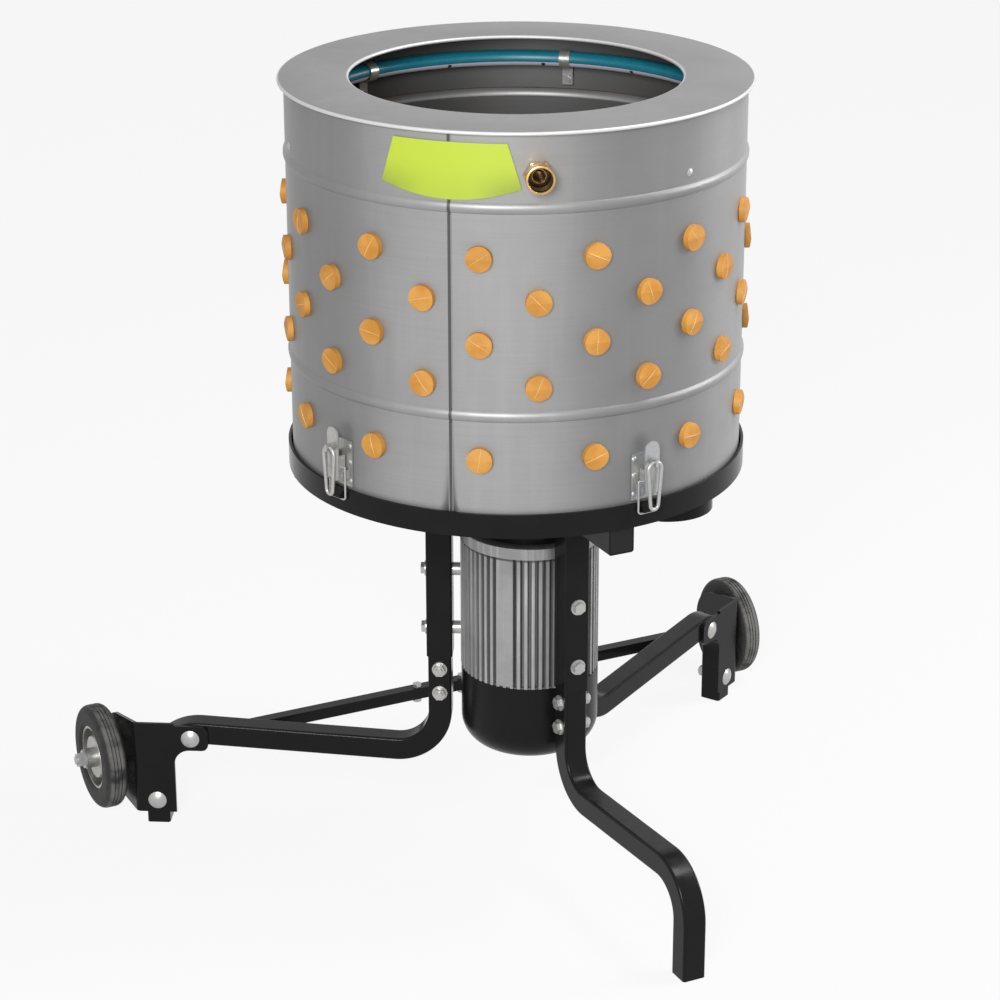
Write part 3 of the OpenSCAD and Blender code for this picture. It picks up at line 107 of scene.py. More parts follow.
# %% A socket that does arithmetic
class Wire:
    def __init__(self, tree, socket=None):
        self.tree = tree
        self.socket = socket

    def node(self, kind, settings, sockets, output=0):
        made = self.tree.nodes.new("ShaderNode" + kind)
        for name, value in settings.items():
            setattr(made, name, value)
        for name, value in sockets.items():
            self.feed(made.inputs[name], value)
        return Wire(self.tree, made.outputs[output])

    def feed(self, socket, value):
        if isinstance(value, Wire):
            self.tree.links.new(value.socket, socket)
        else:
            socket.default_value = value

    def maths(self, operation, *values):
        return self.node("Math", {"operation": operation}, dict(enumerate(values)))

    def __add__(self, other):
        return self.maths("ADD", self, other)

    def __radd__(self, other):
        return self.maths("ADD", other, self)

    def __sub__(self, other):
        return self.maths("SUBTRACT", self, other)

    def __rsub__(self, other):
        return self.maths("SUBTRACT", other, self)

    def __mul__(self, other):
        return self.maths("MULTIPLY", self, other)

    def __rmul__(self, other):
        return self.maths("MULTIPLY", other, self)


# %% [markdown]
# Words for the finishes
#
# Most finishes are the same few moves: a noise that is stretched along the rolling or
# brushing of the sheet, a soft step that turns it into a mask, a blend of two colours
# under that mask, and a bump. They read Object coordinates, which here are the metres of
# the whole machine, so a pattern keeps its true size and runs on from piece to piece.

# %% Places and patterns
def place(wire, scale=(1, 1, 1), shift=(0, 0, 0), turn=(0, 0, 0)):
    metres = wire.node("TexCoord", {}, {}, "Object")
    moved = wire.node("VectorMath", {"operation": "SUBTRACT"}, {0: metres, 1: shift})
    return wire.node("Mapping", {}, {"Vector": moved, "Rotation": turn, "Scale": scale})


def noise(wire, where, scale, detail=3.0, roughness=0.55):
    sockets = {"Vector": where, "Scale": scale, "Detail": detail, "Roughness": roughness}
    return wire.node("TexNoise", {}, sockets, 0)


def cells(wire, where, scale):
    return wire.node("TexVoronoi", {"feature": "F1"}, {"Vector": where, "Scale": scale}, 0)


# %% Masks, blends and bumps
def step(wire, value, start, end):
    sockets = {"Value": value, "From Min": start, "From Max": end}
    return wire.node("MapRange", {"interpolation_type": "SMOOTHSTEP"}, sockets)


def blend(wire, mask, below, above):
    mixed = {0: mask, 6: below, 7: above}
    return wire.node("Mix", {"data_type": "RGBA"}, mixed, 2)


def bump(wire, height, strength, depth):
    return wire.node("Bump", {}, {"Height": height, "Strength": strength, "Distance": depth})


def part(wire, vector, axis):
    return wire.node("SeparateXYZ", {}, {"Vector": vector}, axis)


def length(wire, vector):
    return wire.node("VectorMath", {"operation": "LENGTH"}, {0: vector}, "Value")


def upward(wire):
    return part(wire, wire.node("NewGeometry", {}, {}, "Normal"), "Z")


def grey(level, warmth=0.0):
    return (level * (1 + warmth), level, level * (1 - warmth), 1.0)


# %% A new finish on a principled shader
finishes = {}


def finish(slot, sockets, changing):
    """Sets what is the same all over on the shader, and links what changes over the surface."""
    material = bpy.data.materials.new("finish_" + slot)
    material.use_nodes = True
    shader = material.node_tree.nodes["Principled BSDF"]
    wire = Wire(material.node_tree)
    for name, value in sockets.items():
        shader.inputs[name].default_value = value
    for name, value in changing(wire).items():
        wire.feed(shader.inputs[name], value)
    finishes[slot] = material


# %% [markdown]
# Zinc coated sheet
#
# The drum, its flange and the feather plate are zinc coated sheet with a satin grain. A
# picture of such sheet would show its edges, so the grain is a noise that is squeezed hard
# across the rolling: fine lines come out along it. The drum is rolled round its girth, the
# flange and the plate along one straight direction. The dull zinc skin scatters light as
# well as mirroring it, so the shader is less than half a metal. Slow clouds stand for
# handling marks and faint upright runs for water. The drum has more of its own: four broad
# dark bands round its girth are painted shade and reflection, its inside wall is darkened as
# painted shade, and a dark line is the gap of its lap seam. On both rolled edges of the
# flange a bright line is a painted highlight.

# %% Painted shade bands, painted shade inside, and seam of the drum
seam_angle = radians(-132.3)
seam_half = 0.0012
seam_blur = 0.0010
shade_band_angle = radians(-128)
shade_band_count = 4
inside_shade_start = drum_r - 0.0003
inside_shade_full = drum_r - 0.0008


def drum_shade_and_seam(wire, sheet):
    round_drum = place(wire, shift=drum_axis)
    turn = wire.maths("ARCTAN2", part(wire, round_drum, "Y"), part(wire, round_drum, "X"))
    # Four broad dark bands round the girth are painted shade and reflection.
    shade_bands = wire.maths("COSINE", (turn - shade_band_angle) * shade_band_count)
    band_shaded = blend(wire, step(wire, shade_bands, 0.5, -1.0) * 0.45, sheet, grey(0.09))
    reach = length(wire, place(wire, shift=drum_axis, scale=(1, 1, 0)))
    # The inside of the wall is darkened as painted shade.
    dull = blend(wire, step(wire, reach, inside_shade_start, inside_shade_full) * 0.7, band_shaded, grey(0.05))
    along_seam = place(wire, shift=drum_axis, turn=(0, 0, -seam_angle))
    beside = wire.maths("ABSOLUTE", part(wire, along_seam, "Y"))
    near_half = step(wire, part(wire, along_seam, "X"), 0.1, 0.2)
    gap = step(wire, beside, seam_half + seam_blur, seam_half) * near_half
    return blend(wire, gap * 0.82, dull, grey(0.02))


# %% Painted highlights on the edges of the flange
flange_low, flange_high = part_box("top_flange")
flange_r = (flange_high.x - flange_low.x) / 2
mouth_r = 0.180
highlight_width = 0.0009
outer_fade = 0.0026
inner_fade = 0.0030


def painted_highlight_rims(wire, sheet):
    reach = length(wire, place(wire, shift=drum_axis, scale=(1, 1, 0)))
    outer = step(wire, reach, flange_r - outer_fade, flange_r - highlight_width)
    inner = step(wire, reach, mouth_r + inner_fade, mouth_r + highlight_width)
    # A bright line on both rolled edges is a painted highlight.
    return blend(wire, (outer + inner) * 0.7, sheet, grey(0.75))


print("flange radius:", round(flange_r, 4))


# %% Satin grain for sheet
def satin_sheet(tone, grain, gloss, special=None):
    def changing(wire):
        lines = noise(wire, place(wire, scale=grain), 1.0, detail=4.0, roughness=0.7)
        clouds = noise(wire, place(wire), 9.0, detail=4.0)
        runs = noise(wire, place(wire, scale=(34, 34, 2.5)), 1.0, detail=3.0)
        specks = step(wire, noise(wire, place(wire), 420.0, detail=1.0), 0.66, 0.78)
        colour = blend(wire, lines, grey(tone * 0.88, 0.004), grey(tone * 1.12, -0.004))
        smudged = blend(wire, step(wire, clouds, 0.40, 0.72) * 0.40, colour, grey(tone * 0.80))
        streaked = blend(wire, step(wire, runs, 0.52, 0.75) * 0.30, smudged, grey(tone * 1.22))
        sheet = blend(wire, specks * 0.22, streaked, grey(tone * 0.6))
        return {
            "Base Color": special(wire, sheet) if special else sheet,
            "Roughness": gloss + 0.10 * lines + 0.12 * clouds,
            "Normal": bump(wire, lines, 0.035, 0.0006),
        }
    return changing


sheet_metal = {"Metallic": 0.45}
dull_metal = {"Metallic": 0.35}
finish("drum_sheet", sheet_metal, satin_sheet(0.30, (5, 5, 900), 0.34, drum_shade_and_seam))
finish("flange_sheet", dull_metal, satin_sheet(0.245, (9, 700, 9), 0.40, painted_highlight_rims))
finish("plate_sheet", sheet_metal, satin_sheet(0.34, (9, 600, 9), 0.30))
print("sheet finishes:", sorted(finishes))

# %% [markdown]
# Zinc, steel and brass
#
# The latches, bolts and nuts are zinc plated: bluish, slightly cloudy and not quite a
# mirror, so about two thirds of a metal, with fine dulling where hands and tools have been.
# The hubs are a duller pressed zinc. Turned steel and brass carry faint scratches and a
# little tarnish. The base colour and roughness of each are stirred by two noises of
# different size. The bore of the brass inlet is painted dark as painted shade in the hole,
# apart from the front of its narrow inner bore.

# %% Painted shade in the bore of the brass inlet
inlet_angle = radians(-90 - 21.4)
inlet_height = 0.864
socket_bore_r = 0.012
inner_bore_r = 0.007
bore_shade_start = socket_bore_r + 0.0008
bore_shade_full = socket_bore_r + 0.0003
seat_blur = 0.0006
deep_blur = 0.002


def painted_bore_shade(wire, brass):
    inlet = Vector((drum_axis.x, drum_axis.y, inlet_height))
    along_bore = place(wire, shift=inlet, turn=(0, 0, -inlet_angle))
    sideways = wire.node("VectorMath", {"operation": "MULTIPLY"}, {0: along_bore, 1: (0, 1, 1)})
    off_axis = length(wire, sideways)
    in_socket = step(wire, off_axis, bore_shade_start, bore_shade_full)
    past_seat = step(wire, off_axis, inner_bore_r, inner_bore_r + seat_blur)
    deep = step(wire, part(wire, along_bore, "X"), drum_r, drum_r - deep_blur)
    # The socket and the deep bore are painted dark: painted shade.
    scale = in_socket * wire.maths("MAXIMUM", past_seat, deep)
    return blend(wire, scale * 0.94, brass, (0.030, 0.020, 0.012, 1))


# %% Plated and turned metals
def plated(tone, warm_tone, cloud, gloss, special=None):
    def changing(wire):
        clouds = noise(wire, place(wire), cloud, detail=4.0)
        brushed = place(wire, scale=(300, 900, 1500), turn=(0.4, 0.2, 0.7))
        scratches = noise(wire, brushed, 1.0, detail=2.0)
        dull = step(wire, noise(wire, place(wire), cloud * 6, detail=3.0), 0.48, 0.70)
        colour = blend(wire, step(wire, clouds, 0.35, 0.65), tone, warm_tone)
        dark_tone = tuple(0.6 * value for value in tone[:3]) + (1.0,)
        toned = blend(wire, dull * 0.22, colour, dark_tone)
        return {
            "Base Color": special(wire, toned) if special else toned,
            "Roughness": gloss + 0.16 * dull + 0.08 * scratches,
            "Normal": bump(wire, scratches, 0.05, 0.0003),
        }
    return changing


metal = {"Metallic": 1.0}
plating = {"Metallic": 0.65}
finish("zinc", plating, plated((0.40, 0.41, 0.42, 1), (0.45, 0.44, 0.42, 1), 40.0, 0.28))
finish("hub_zinc", metal, plated((0.42, 0.42, 0.41, 1), (0.38, 0.37, 0.35, 1), 25.0, 0.34))
finish("steel", metal, plated((0.46, 0.46, 0.47, 1), (0.42, 0.41, 0.40, 1), 50.0, 0.28))
finish("brass", metal, plated((0.72, 0.47, 0.20, 1), (0.58, 0.35, 0.14, 1), 90.0, 0.20, painted_bore_shade))
print("sheet and metal finishes:", sorted(finishes))

# %% [markdown]
# Cast alloy and laminated iron
#
# The motor housing is cast aluminium that keeps the grain of its mould. Down between the
# fins it is painted darker as painted shade, and a dark line in the corner under its upper lip
# is a painted shadow. The tips of the fins are rubbed bright here and there. The stator inside
# is a stack of thin iron sheets, so it only needs fine level lines under a brown varnish.

# %% Cast alloy of the motor housing
fin_root_r = 0.070
fin_tip_r = 0.079
tip_margin = 0.0005
lip_height = 0.013
lip_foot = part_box("motor_housing")[1].z - lip_height
lip_shadow_start = lip_foot - 0.004
lip_shadow_full = lip_foot - 0.002
lip_shadow_edge = 0.0002


def cast_alloy(wire):
    grain = noise(wire, place(wire), 1100.0, detail=2.0)
    clouds = noise(wire, place(wire), 26.0, detail=4.0)
    reach = length(wire, place(wire, scale=(1, 1, 0), shift=motor_axis))
    outside = step(wire, reach, fin_root_r, fin_tip_r - tip_margin)
    runs = noise(wire, place(wire, scale=(140, 140, 4)), 1.0, detail=3.0)
    # Darker between the fins than on their tips: painted shade.
    toned = blend(wire, outside, grey(0.17), grey(0.33))
    rubbed = blend(wire, step(wire, runs, 0.50, 0.66) * outside * 0.6, toned, grey(0.52))
    height = part(wire, place(wire), "Z")
    # A dark line in the corner under the lip is a painted shadow.
    corner_start = step(wire, height, lip_shadow_start, lip_shadow_full)
    corner_end = step(wire, height, lip_foot, lip_foot - lip_shadow_edge)
    shaded = blend(wire, corner_start * corner_end * 0.85, rubbed, grey(0.04))
    return {
        "Base Color": blend(wire, step(wire, clouds, 0.4, 0.7) * 0.3, shaded, grey(0.20, 0.02)),
        "Roughness": 0.42 + 0.16 * clouds,
        "Normal": bump(wire, grain, 0.20, 0.0006),
    }


finish("motor_alloy", {"Metallic": 0.6}, cast_alloy)
print("lip of the motor housing ends at", round(lip_foot, 4))

# %% Stacked iron of the stator
sheets_per_metre = 900.0


def stacked_iron(wire):
    sheets = wire.maths("FRACT", part(wire, place(wire), "Z") * sheets_per_metre)
    runs = noise(wire, place(wire, scale=(40, 40, 12)), 1.0)
    edge = step(wire, sheets, 0.1, 0.5)
    return {
        "Base Color": blend(wire, edge, (0.03, 0.018, 0.01, 1), (0.16, 0.09, 0.05, 1)),
        "Roughness": 0.35 + 0.25 * runs,
        "Normal": bump(wire, edge, 0.25, 0.0003),
    }


finish("stator_iron", {"Metallic": 0.4}, stacked_iron)
print("stator sheet thickness:", round(1 / sheets_per_metre, 4))

# %% [markdown]
# Black coats and plastic
#
# The frame is powder coated: gloss black with the soft skin of an orange peel, and dust on
# the faces that look up. The fan cover is a smoother enamel. The switch box is moulded
# plastic with a fine spark texture. Bump does the skin, and the up-facing part of the
# normal does the dust, so it stays right when the machine is seen from any side.

# %% Powder coat, enamel and moulded plastic
def black_skin(level, peel, peel_depth, gloss, dust):
    def changing(wire):
        skin = noise(wire, place(wire), peel, detail=1.5)
        clouds = noise(wire, place(wire), 30.0, detail=5.0)
        settled = step(wire, upward(wire), 0.55, 0.98) * step(wire, clouds, 0.38, 0.75)
        scuffs = step(wire, noise(wire, place(wire, scale=(60, 60, 18)), 1.0, detail=5.0), 0.68, 0.76)
        coat = blend(wire, clouds, grey(level * 0.8), grey(level * 1.25))
        dusty = blend(wire, settled * dust, coat, grey(0.16, 0.06))
        return {
            "Base Color": blend(wire, scuffs * 0.12, dusty, grey(0.07)),
            "Roughness": gloss + 0.08 * clouds + 0.20 * settled,
            "Normal": bump(wire, skin, peel_depth, 0.0008),
        }
    return changing


finish("black_coat", {"Specular IOR Level": 0.10}, black_skin(0.0090, 700.0, 0.07, 0.15, 0.06))
finish("cover_coat", {"Specular IOR Level": 0.14}, black_skin(0.0060, 500.0, 0.05, 0.24, 0.10))
finish("black_plastic", {"Specular IOR Level": 0.20}, black_skin(0.0090, 2600.0, 0.22, 0.42, 0.12))
print("black finishes ready")

# %% [markdown]
# Rubber fingers and tyres
#
# The plucking fingers are soft natural rubber, amber yellow, paler where they have been
# flexed and bloomed. The tyres are carbon black rubber, and the crown of the tread is lighter
# grey, partly as wear and partly as a painted highlight. Both are plain dielectrics, and what
# makes them look like rubber is high roughness, cloudy colour and a fine skin. The wheels turn
# on one line, so the lighter tread of both is found from the distance to the middle of one of them.

# %% Amber rubber of the fingers
matt = {"Specular IOR Level": 0.35}


def amber_rubber(deep, pale):
    def changing(wire):
        bloom = noise(wire, place(wire), 38.0, detail=4.0)
        skin = noise(wire, place(wire), 900.0, detail=2.0)
        specks = step(wire, cells(wire, place(wire), 260.0), 0.10, 0.04)
        colour = blend(wire, step(wire, bloom, 0.35, 0.7), deep, pale)
        return {
            "Base Color": blend(wire, specks * 0.30, colour, (0.30, 0.12, 0.03, 1)),
            "Roughness": 0.44 + 0.18 * bloom,
            "Normal": bump(wire, skin, 0.10, 0.0006),
        }
    return changing


finish("finger_rubber", matt, amber_rubber((0.49, 0.215, 0.032, 1), (0.60, 0.29, 0.060, 1)))
finish("pale_rubber", matt, amber_rubber((0.66, 0.40, 0.16, 1), (0.76, 0.50, 0.24, 1)))
print("amber rubbers ready")

# %% Black rubber of the tyres
tyre_middle = middle("left_tyre")
tyre_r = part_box("left_tyre")[1].z - tyre_middle.z
tread_start = tyre_r - 0.0022
tread_full = tyre_r - 0.0004


def tyre_rubber(wire):
    dust = noise(wire, place(wire), 55.0, detail=5.0)
    skin = noise(wire, place(wire), 1300.0, detail=2.0)
    rubber = blend(wire, step(wire, dust, 0.42, 0.72) * 0.7, grey(0.018), grey(0.050, 0.03))
    reach = length(wire, place(wire, shift=tyre_middle, scale=(0, 1, 1)))
    # The lighter crown of the tread is partly wear and partly a painted highlight.
    tread_wear_and_highlight = step(wire, reach, tread_start, tread_full) * step(wire, dust, 0.30, 0.60)
    return {
        "Base Color": blend(wire, tread_wear_and_highlight * 0.8, rubber, grey(0.17, 0.02)),
        "Roughness": 0.62 + 0.20 * dust,
        "Normal": bump(wire, skin, 0.20, 0.0006),
    }


finish("tyre_rubber", matt, tyre_rubber)
print("tyre radius:", round(tyre_r, 4))

# %% [markdown]
# The spray hose
#
# The hose inside the rim is teal with a slight gloss, and a pale stripe on its lower inner
# side carries the spray holes. A stripe could be a thin mesh of its own, but it is only a
# colour of the hose, so it is found from the distance to the hose's own round axis and
# follows the ring. Equal steps of the angle round the drum give the holes.

# %% Teal hose with its stripe
hose_middle = middle("spray_hose")
hose_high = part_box("spray_hose")[1]
hose_r = hose_high.z - hose_middle.z
hose_ring_r = hose_high.x - drum_axis.x - hose_r
stripe_angle = radians(222)
spray_holes = 13


def teal_hose(wire):
    clouds = noise(wire, place(wire), 60.0, detail=3.0)
    weave = cells(wire, place(wire, scale=(1, 1, 1.6)), 520.0)
    colour = blend(wire, clouds, (0.005, 0.13, 0.19, 1), (0.008, 0.19, 0.26, 1))
    teal = blend(wire, step(wire, weave, 0.5, 0.2) * 0.25, colour, (0.02, 0.29, 0.36, 1))
    round_drum = place(wire, shift=(drum_axis.x, drum_axis.y, hose_middle.z))
    outward = length(wire, place(wire, shift=drum_axis, scale=(1, 1, 0))) - hose_ring_r
    sideways = outward * (cos(stripe_angle) / hose_r)
    facing = sideways + part(wire, round_drum, "Z") * (sin(stripe_angle) / hose_r)
    edged = blend(wire, step(wire, facing, 0.86, 0.90), teal, (0.03, 0.02, 0.07, 1))
    striped = blend(wire, step(wire, facing, 0.91, 0.93), edged, (0.50, 0.50, 0.58, 1))
    turn = wire.maths("ARCTAN2", part(wire, round_drum, "Y"), part(wire, round_drum, "X"))
    steps_round = turn * (spray_holes / tau) + 0.5 * spray_holes
    from_hole = wire.maths("ABSOLUTE", wire.maths("FRACT", steps_round) - 0.5)
    hole = step(wire, from_hole, 0.022, 0.016) * step(wire, facing, 0.955, 0.965)
    return {
        "Base Color": blend(wire, hole, striped, grey(0.01)),
        "Roughness": 0.30 + 0.15 * clouds,
        "Normal": bump(wire, weave, 0.10, 0.0004),
    }


glossy = {"Specular IOR Level": 0.5}
finish("hose", glossy, teal_hose)
print("hose ring radius:", round(hose_ring_r, 4), "hose radius:", round(hose_r, 4))

# %% [markdown]
# Blank badge and push buttons
#
# The badge is a lime film on thin plate, and is left without print. It is greener and darker
# towards its lower corners, so its colour follows the height and the distance from the seam
# that it covers. The two buttons are glossy moulded caps, green above and red below, with
# fine swirls from wiping.

# %% Lime film and button caps
badge_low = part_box("badge_plate")[0].z
badge_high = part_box("badge_plate")[1].z
darken_start = badge_low + 0.7 * (badge_high - badge_low)


def lime_film(wire):
    low = step(wire, part(wire, place(wire), "Z"), darken_start, badge_low)
    along_seam = place(wire, shift=drum_axis, turn=(0, 0, -seam_angle))
    aside = step(wire, wire.maths("ABSOLUTE", part(wire, along_seam, "Y")), 0.020, 0.075)
    clouds = noise(wire, place(wire), 30.0, detail=4.0)
    grain = noise(wire, place(wire), 1500.0, detail=1.0)
    # Darker and greener towards the lower corners.
    darker_corners = low * (0.25 + 0.75 * aside) * (0.6 + 0.5 * clouds)
    film = blend(wire, darker_corners, (0.45, 0.565, 0.040, 1), (0.20, 0.26, 0.04, 1))
    return {
        "Base Color": blend(wire, grain * 0.10, film, (0.36, 0.47, 0.05, 1)),
        "Roughness": 0.30 + 0.15 * clouds,
        "Normal": bump(wire, grain, 0.04, 0.0003),
    }


def button_cap(deep, bright):
    def changing(wire):
        clouds = noise(wire, place(wire), 120.0, detail=3.0)
        swirls = noise(wire, place(wire, scale=(900, 900, 250)), 1.0, detail=2.0)
        return {
            "Base Color": blend(wire, clouds, deep, bright),
            "Roughness": 0.22 + 0.15 * swirls,
            "Normal": bump(wire, swirls, 0.04, 0.0002),
        }
    return changing


finish("badge", glossy, lime_film)
finish("green_button", glossy, button_cap((0.01, 0.16, 0.03, 1), (0.02, 0.24, 0.05, 1)))
finish("red_button", glossy, button_cap((0.40, 0.01, 0.01, 1), (0.55, 0.02, 0.015, 1)))
print("all finishes:", len(finishes))

# %% [markdown]
# Dressing the solids
#
# Each solid arrives with a flat material that is named for its slot. Swapping the material
# in the slot changes the look and leaves the mesh as it is. Where two slot names fit, as
# with zinc and hub_zinc, the longer one is meant.

# %% Finishes on the solids
dressed = 0
for node in nodes.values():
    for holder in node.material_slots:
        fitting_names = [slot for slot in finishes if slot in holder.material.name]
        slot = max(fitting_names, key=len)
        holder.material = finishes[slot]
        dressed += 1
print("slots dressed:", dressed)

# %% [markdown]
# Making a new piece
#
# The small forms below are modelled with mesh operators: a few vertices or a circle, then
# spin, extrude and bevel. When a shape is ready, doubles are merged, its faces are turned
# outwards, and it is fastened to the body that carries it, so it moves with the machine.

# %% From a shape to a piece that rides on a body
merge_distance = 1e-6
sharp_angle = radians(38)


def piece(name, shape, slot, look=None, body="frame"):
    bmesh.ops.remove_doubles(shape, verts=shape.verts, dist=merge_distance)
    bmesh.ops.recalc_face_normals(shape, faces=shape.faces)
    mesh = bpy.data.meshes.new(name)
    shape.to_mesh(mesh)
    shape.free()
    mesh.materials.append(finishes[look or slot])
    mesh.shade_smooth()
    mesh.set_sharp_from_angle(angle=sharp_angle)
    made = bpy.data.objects.new(name, mesh)
    bpy.context.scene.collection.objects.link(made)
    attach(made, body)
    print("piece:", name, "faces:", len(mesh.polygons))
    return made


def round_axis(axis, angle, height):
    """Frame whose +X points away from an upright axis, at an angle from +X of the machine."""
    return Matrix.Translation((axis.x, axis.y, height)) @ Matrix.Rotation(angle, 4, "Z")


# %% [markdown]
# Turned, threaded and hexagonal forms
#
# A lathe part is a closed outline beside an axis that is spun once round it. A screw
# thread is one tooth that is spun many times while it slides along. A hexagon is a
# six-sided disc that is extruded, holed by an inset in both faces, and bevelled at its
# corners, as a nut is.

# %% Lathe and thread
def along_axis(at):
    return at.to_3x3() @ Vector((1, 0, 0))


def outline_loop(shape, at, outline):
    verts = [shape.verts.new(at @ Vector((along, 0, radius))) for along, radius in outline]
    edges = [shape.edges.new(pair) for pair in zip(verts, verts[1:] + verts[:1])]
    return verts + edges


def turned(shape, at, outline, steps=48):
    loop = outline_loop(shape, at, outline)
    bmesh.ops.spin(shape, geom=loop, cent=at.translation, axis=along_axis(at), angle=tau,
                   steps=steps, use_merge=True)


def thread(shape, at, start, reach, root, crest, pitch, steps=24):
    tooth = [(0.0, root), (0.35 * pitch, crest), (0.5 * pitch, crest), (0.85 * pitch, root)]
    loop = outline_loop(shape, at, [(start + along, radius) for along, radius in tooth])
    turns = int(reach / pitch) - 1
    bmesh.ops.spin(shape, geom=loop, cent=at.translation, axis=along_axis(at), angle=tau * turns,
                   steps=steps * turns, dvec=along_axis(at) * pitch / steps)
    bmesh.ops.holes_fill(shape, edges=[edge for edge in shape.edges if edge.is_boundary])


# %% Hexagon with a hole
def edges_of(verts):
    """Edges at some vertices, each of them once and always in the same order."""
    return list(dict.fromkeys(edge for vert in verts for edge in vert.link_edges))


def hexagon(shape, at, flats, start, thickness, hole_r, round_off=0.0008):
    stand = at @ Matrix.Translation((start, 0, 0)) @ Matrix.Rotation(pi / 2, 4, "Y")
    corner_r = flats / 2 / cos(pi / 6)
    disc = bmesh.ops.create_circle(shape, cap_ends=True, segments=6, radius=corner_r, matrix=stand)
    face = disc["verts"][0].link_faces[0]
    grown = bmesh.ops.extrude_face_region(shape, geom=[face], use_keep_orig=True)
    moved = [item for item in grown["geom"] if isinstance(item, bmesh.types.BMVert)]
    bmesh.ops.translate(shape, verts=moved, vec=along_axis(at) * thickness)
    rim = edges_of(moved + disc["verts"])
    caps = [face] + [item for item in grown["geom"] if isinstance(item, bmesh.types.BMFace)]
    bmesh.ops.inset_individual(shape, faces=caps, thickness=flats / 2 - hole_r, use_even_offset=True)
    hole_edges = [edge for cap in caps for edge in cap.edges]
    bmesh.ops.delete(shape, geom=caps, context="FACES_ONLY")
    bmesh.ops.bridge_loops(shape, edges=hole_edges)
    bmesh.ops.bevel(shape, geom=rim, offset=round_off, affect="EDGES", segments=2, profile=0.5,
                    material=-1)


# %% [markdown]
# The rolled flange
#
# The flange is cut from sheet, and both of its edges are rolled under, so a hand that reaches
# into the drum meets no sharp edge. Its section is a flat strip with a round at either end.
# It is spun in many steps, because the long bright edges, partly painted highlight, would show every
# corner.

# %% Flange with rolled edges
hem_r = 0.002
hem_turn = radians(270)
hem_points = 11
flange_steps = 160


def hem(middle_r, first_angle):
    middle_z = flange_high.z - hem_r
    angles = [first_angle - hem_turn * i / (hem_points - 1) for i in range(hem_points)]
    return [(middle_z + hem_r * sin(angle), middle_r + hem_r * cos(angle)) for angle in angles]


flange_shape = bmesh.new()
flange_at = Matrix.Translation((drum_axis.x, drum_axis.y, 0)) @ Matrix.Rotation(-pi / 2, 4, "Y")
section = hem(flange_r - hem_r, pi / 2) + hem(mouth_r + hem_r, 0.0)
turned(flange_shape, flange_at, section, steps=flange_steps)
flange = piece("rolled_flange", flange_shape, "flange_sheet")
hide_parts("top_flange")

# %% [markdown]
# The brass hose inlet
#
# Water comes in through a brass socket: a hexagon against the drum, a wide nose with a
# bright rounded rim and a thread inside, and behind the drum wall a lock nut and a tee on
# which the two ends of the spray hose are pushed. The solid is plain, and this piece stands
# for it with a real thread, chamfered hexagons that are a little narrower, and barbs on the
# tee. Most of it is turned about two axes: the inlet's, and across it the tee's.

# %% Sizes of the inlet
socket_r = 0.015
socket_flats = 0.028
shank_r = 0.011
hex_height = 0.008
nose_length = 0.016
nose_start = drum_r + hex_height
nose_end = nose_start + nose_length
seat = nose_start - 0.001
back_end = hose_ring_r + 0.004
rim_round = 0.0009
axis_gap = 0.0002
thread_pitch = 0.0018
thread_length = 0.0135
thread_start = seat + 0.0012
thread_root = socket_bore_r + 0.0001
thread_crest = socket_bore_r - 0.0008
nut_start = drum_r - 0.0077
nut_height = 0.005
tee_half = 0.0163
tee_r = hose_r + 0.0005
barb = 0.0006
print("inlet reaches from", round(hose_ring_r, 4), "to", round(nose_end, 4))

# %% Brass hose inlet
inlet_shape = bmesh.new()
inlet_at = round_axis(drum_axis, inlet_angle, inlet_height)
hexagon(inlet_shape, inlet_at, socket_flats, drum_r, hex_height, shank_r)
turned(inlet_shape, inlet_at, [
    (hose_ring_r, axis_gap), (hose_ring_r, shank_r), (nose_start - rim_round, shank_r),
    (nose_start - rim_round, socket_r - rim_round), (nose_start + rim_round, socket_r),
    (nose_end - rim_round, socket_r), (nose_end - 0.3 * rim_round, socket_r - 0.3 * rim_round),
    (nose_end, socket_r - rim_round), (nose_end, socket_bore_r + rim_round),
    (nose_end - rim_round, socket_bore_r), (seat, socket_bore_r), (seat, inner_bore_r),
    (back_end, inner_bore_r), (back_end, axis_gap)])
thread(inlet_shape, inlet_at, thread_start, thread_length, thread_root, thread_crest, thread_pitch)
hexagon(inlet_shape, inlet_at, socket_flats, nut_start, nut_height, shank_r)
tee_at = round_axis(drum_axis, inlet_angle, hose_middle.z) @ Matrix.Translation((hose_ring_r, 0, 0))
tee_at = tee_at @ Matrix.Rotation(pi / 2, 4, "Z")
turned(inlet_shape, tee_at, [
    (-tee_half, axis_gap), (-tee_half, tee_r - barb), (-tee_half + 2 * barb, tee_r),
    (-10 * barb, tee_r - barb), (-9 * barb, tee_r), (9 * barb, tee_r), (10 * barb, tee_r - barb),
    (tee_half - 2 * barb, tee_r), (tee_half, tee_r - barb), (tee_half, axis_gap)])
inlet = piece("hose_inlet", inlet_shape, "brass")
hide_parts("hose_fitting")

# %% [markdown]
# Welds
#
# Posts, beams and the outlet collar are welded, and a row of frozen ripples shows where
# the arc went. A bead is one small circle that is extruded step by step along its path, a
# little wider and narrower by turns. The coat goes over the welds, so they take it too.

# %% A rippled bead along a path
end_swell = 0.45
ripple_depth = 0.18


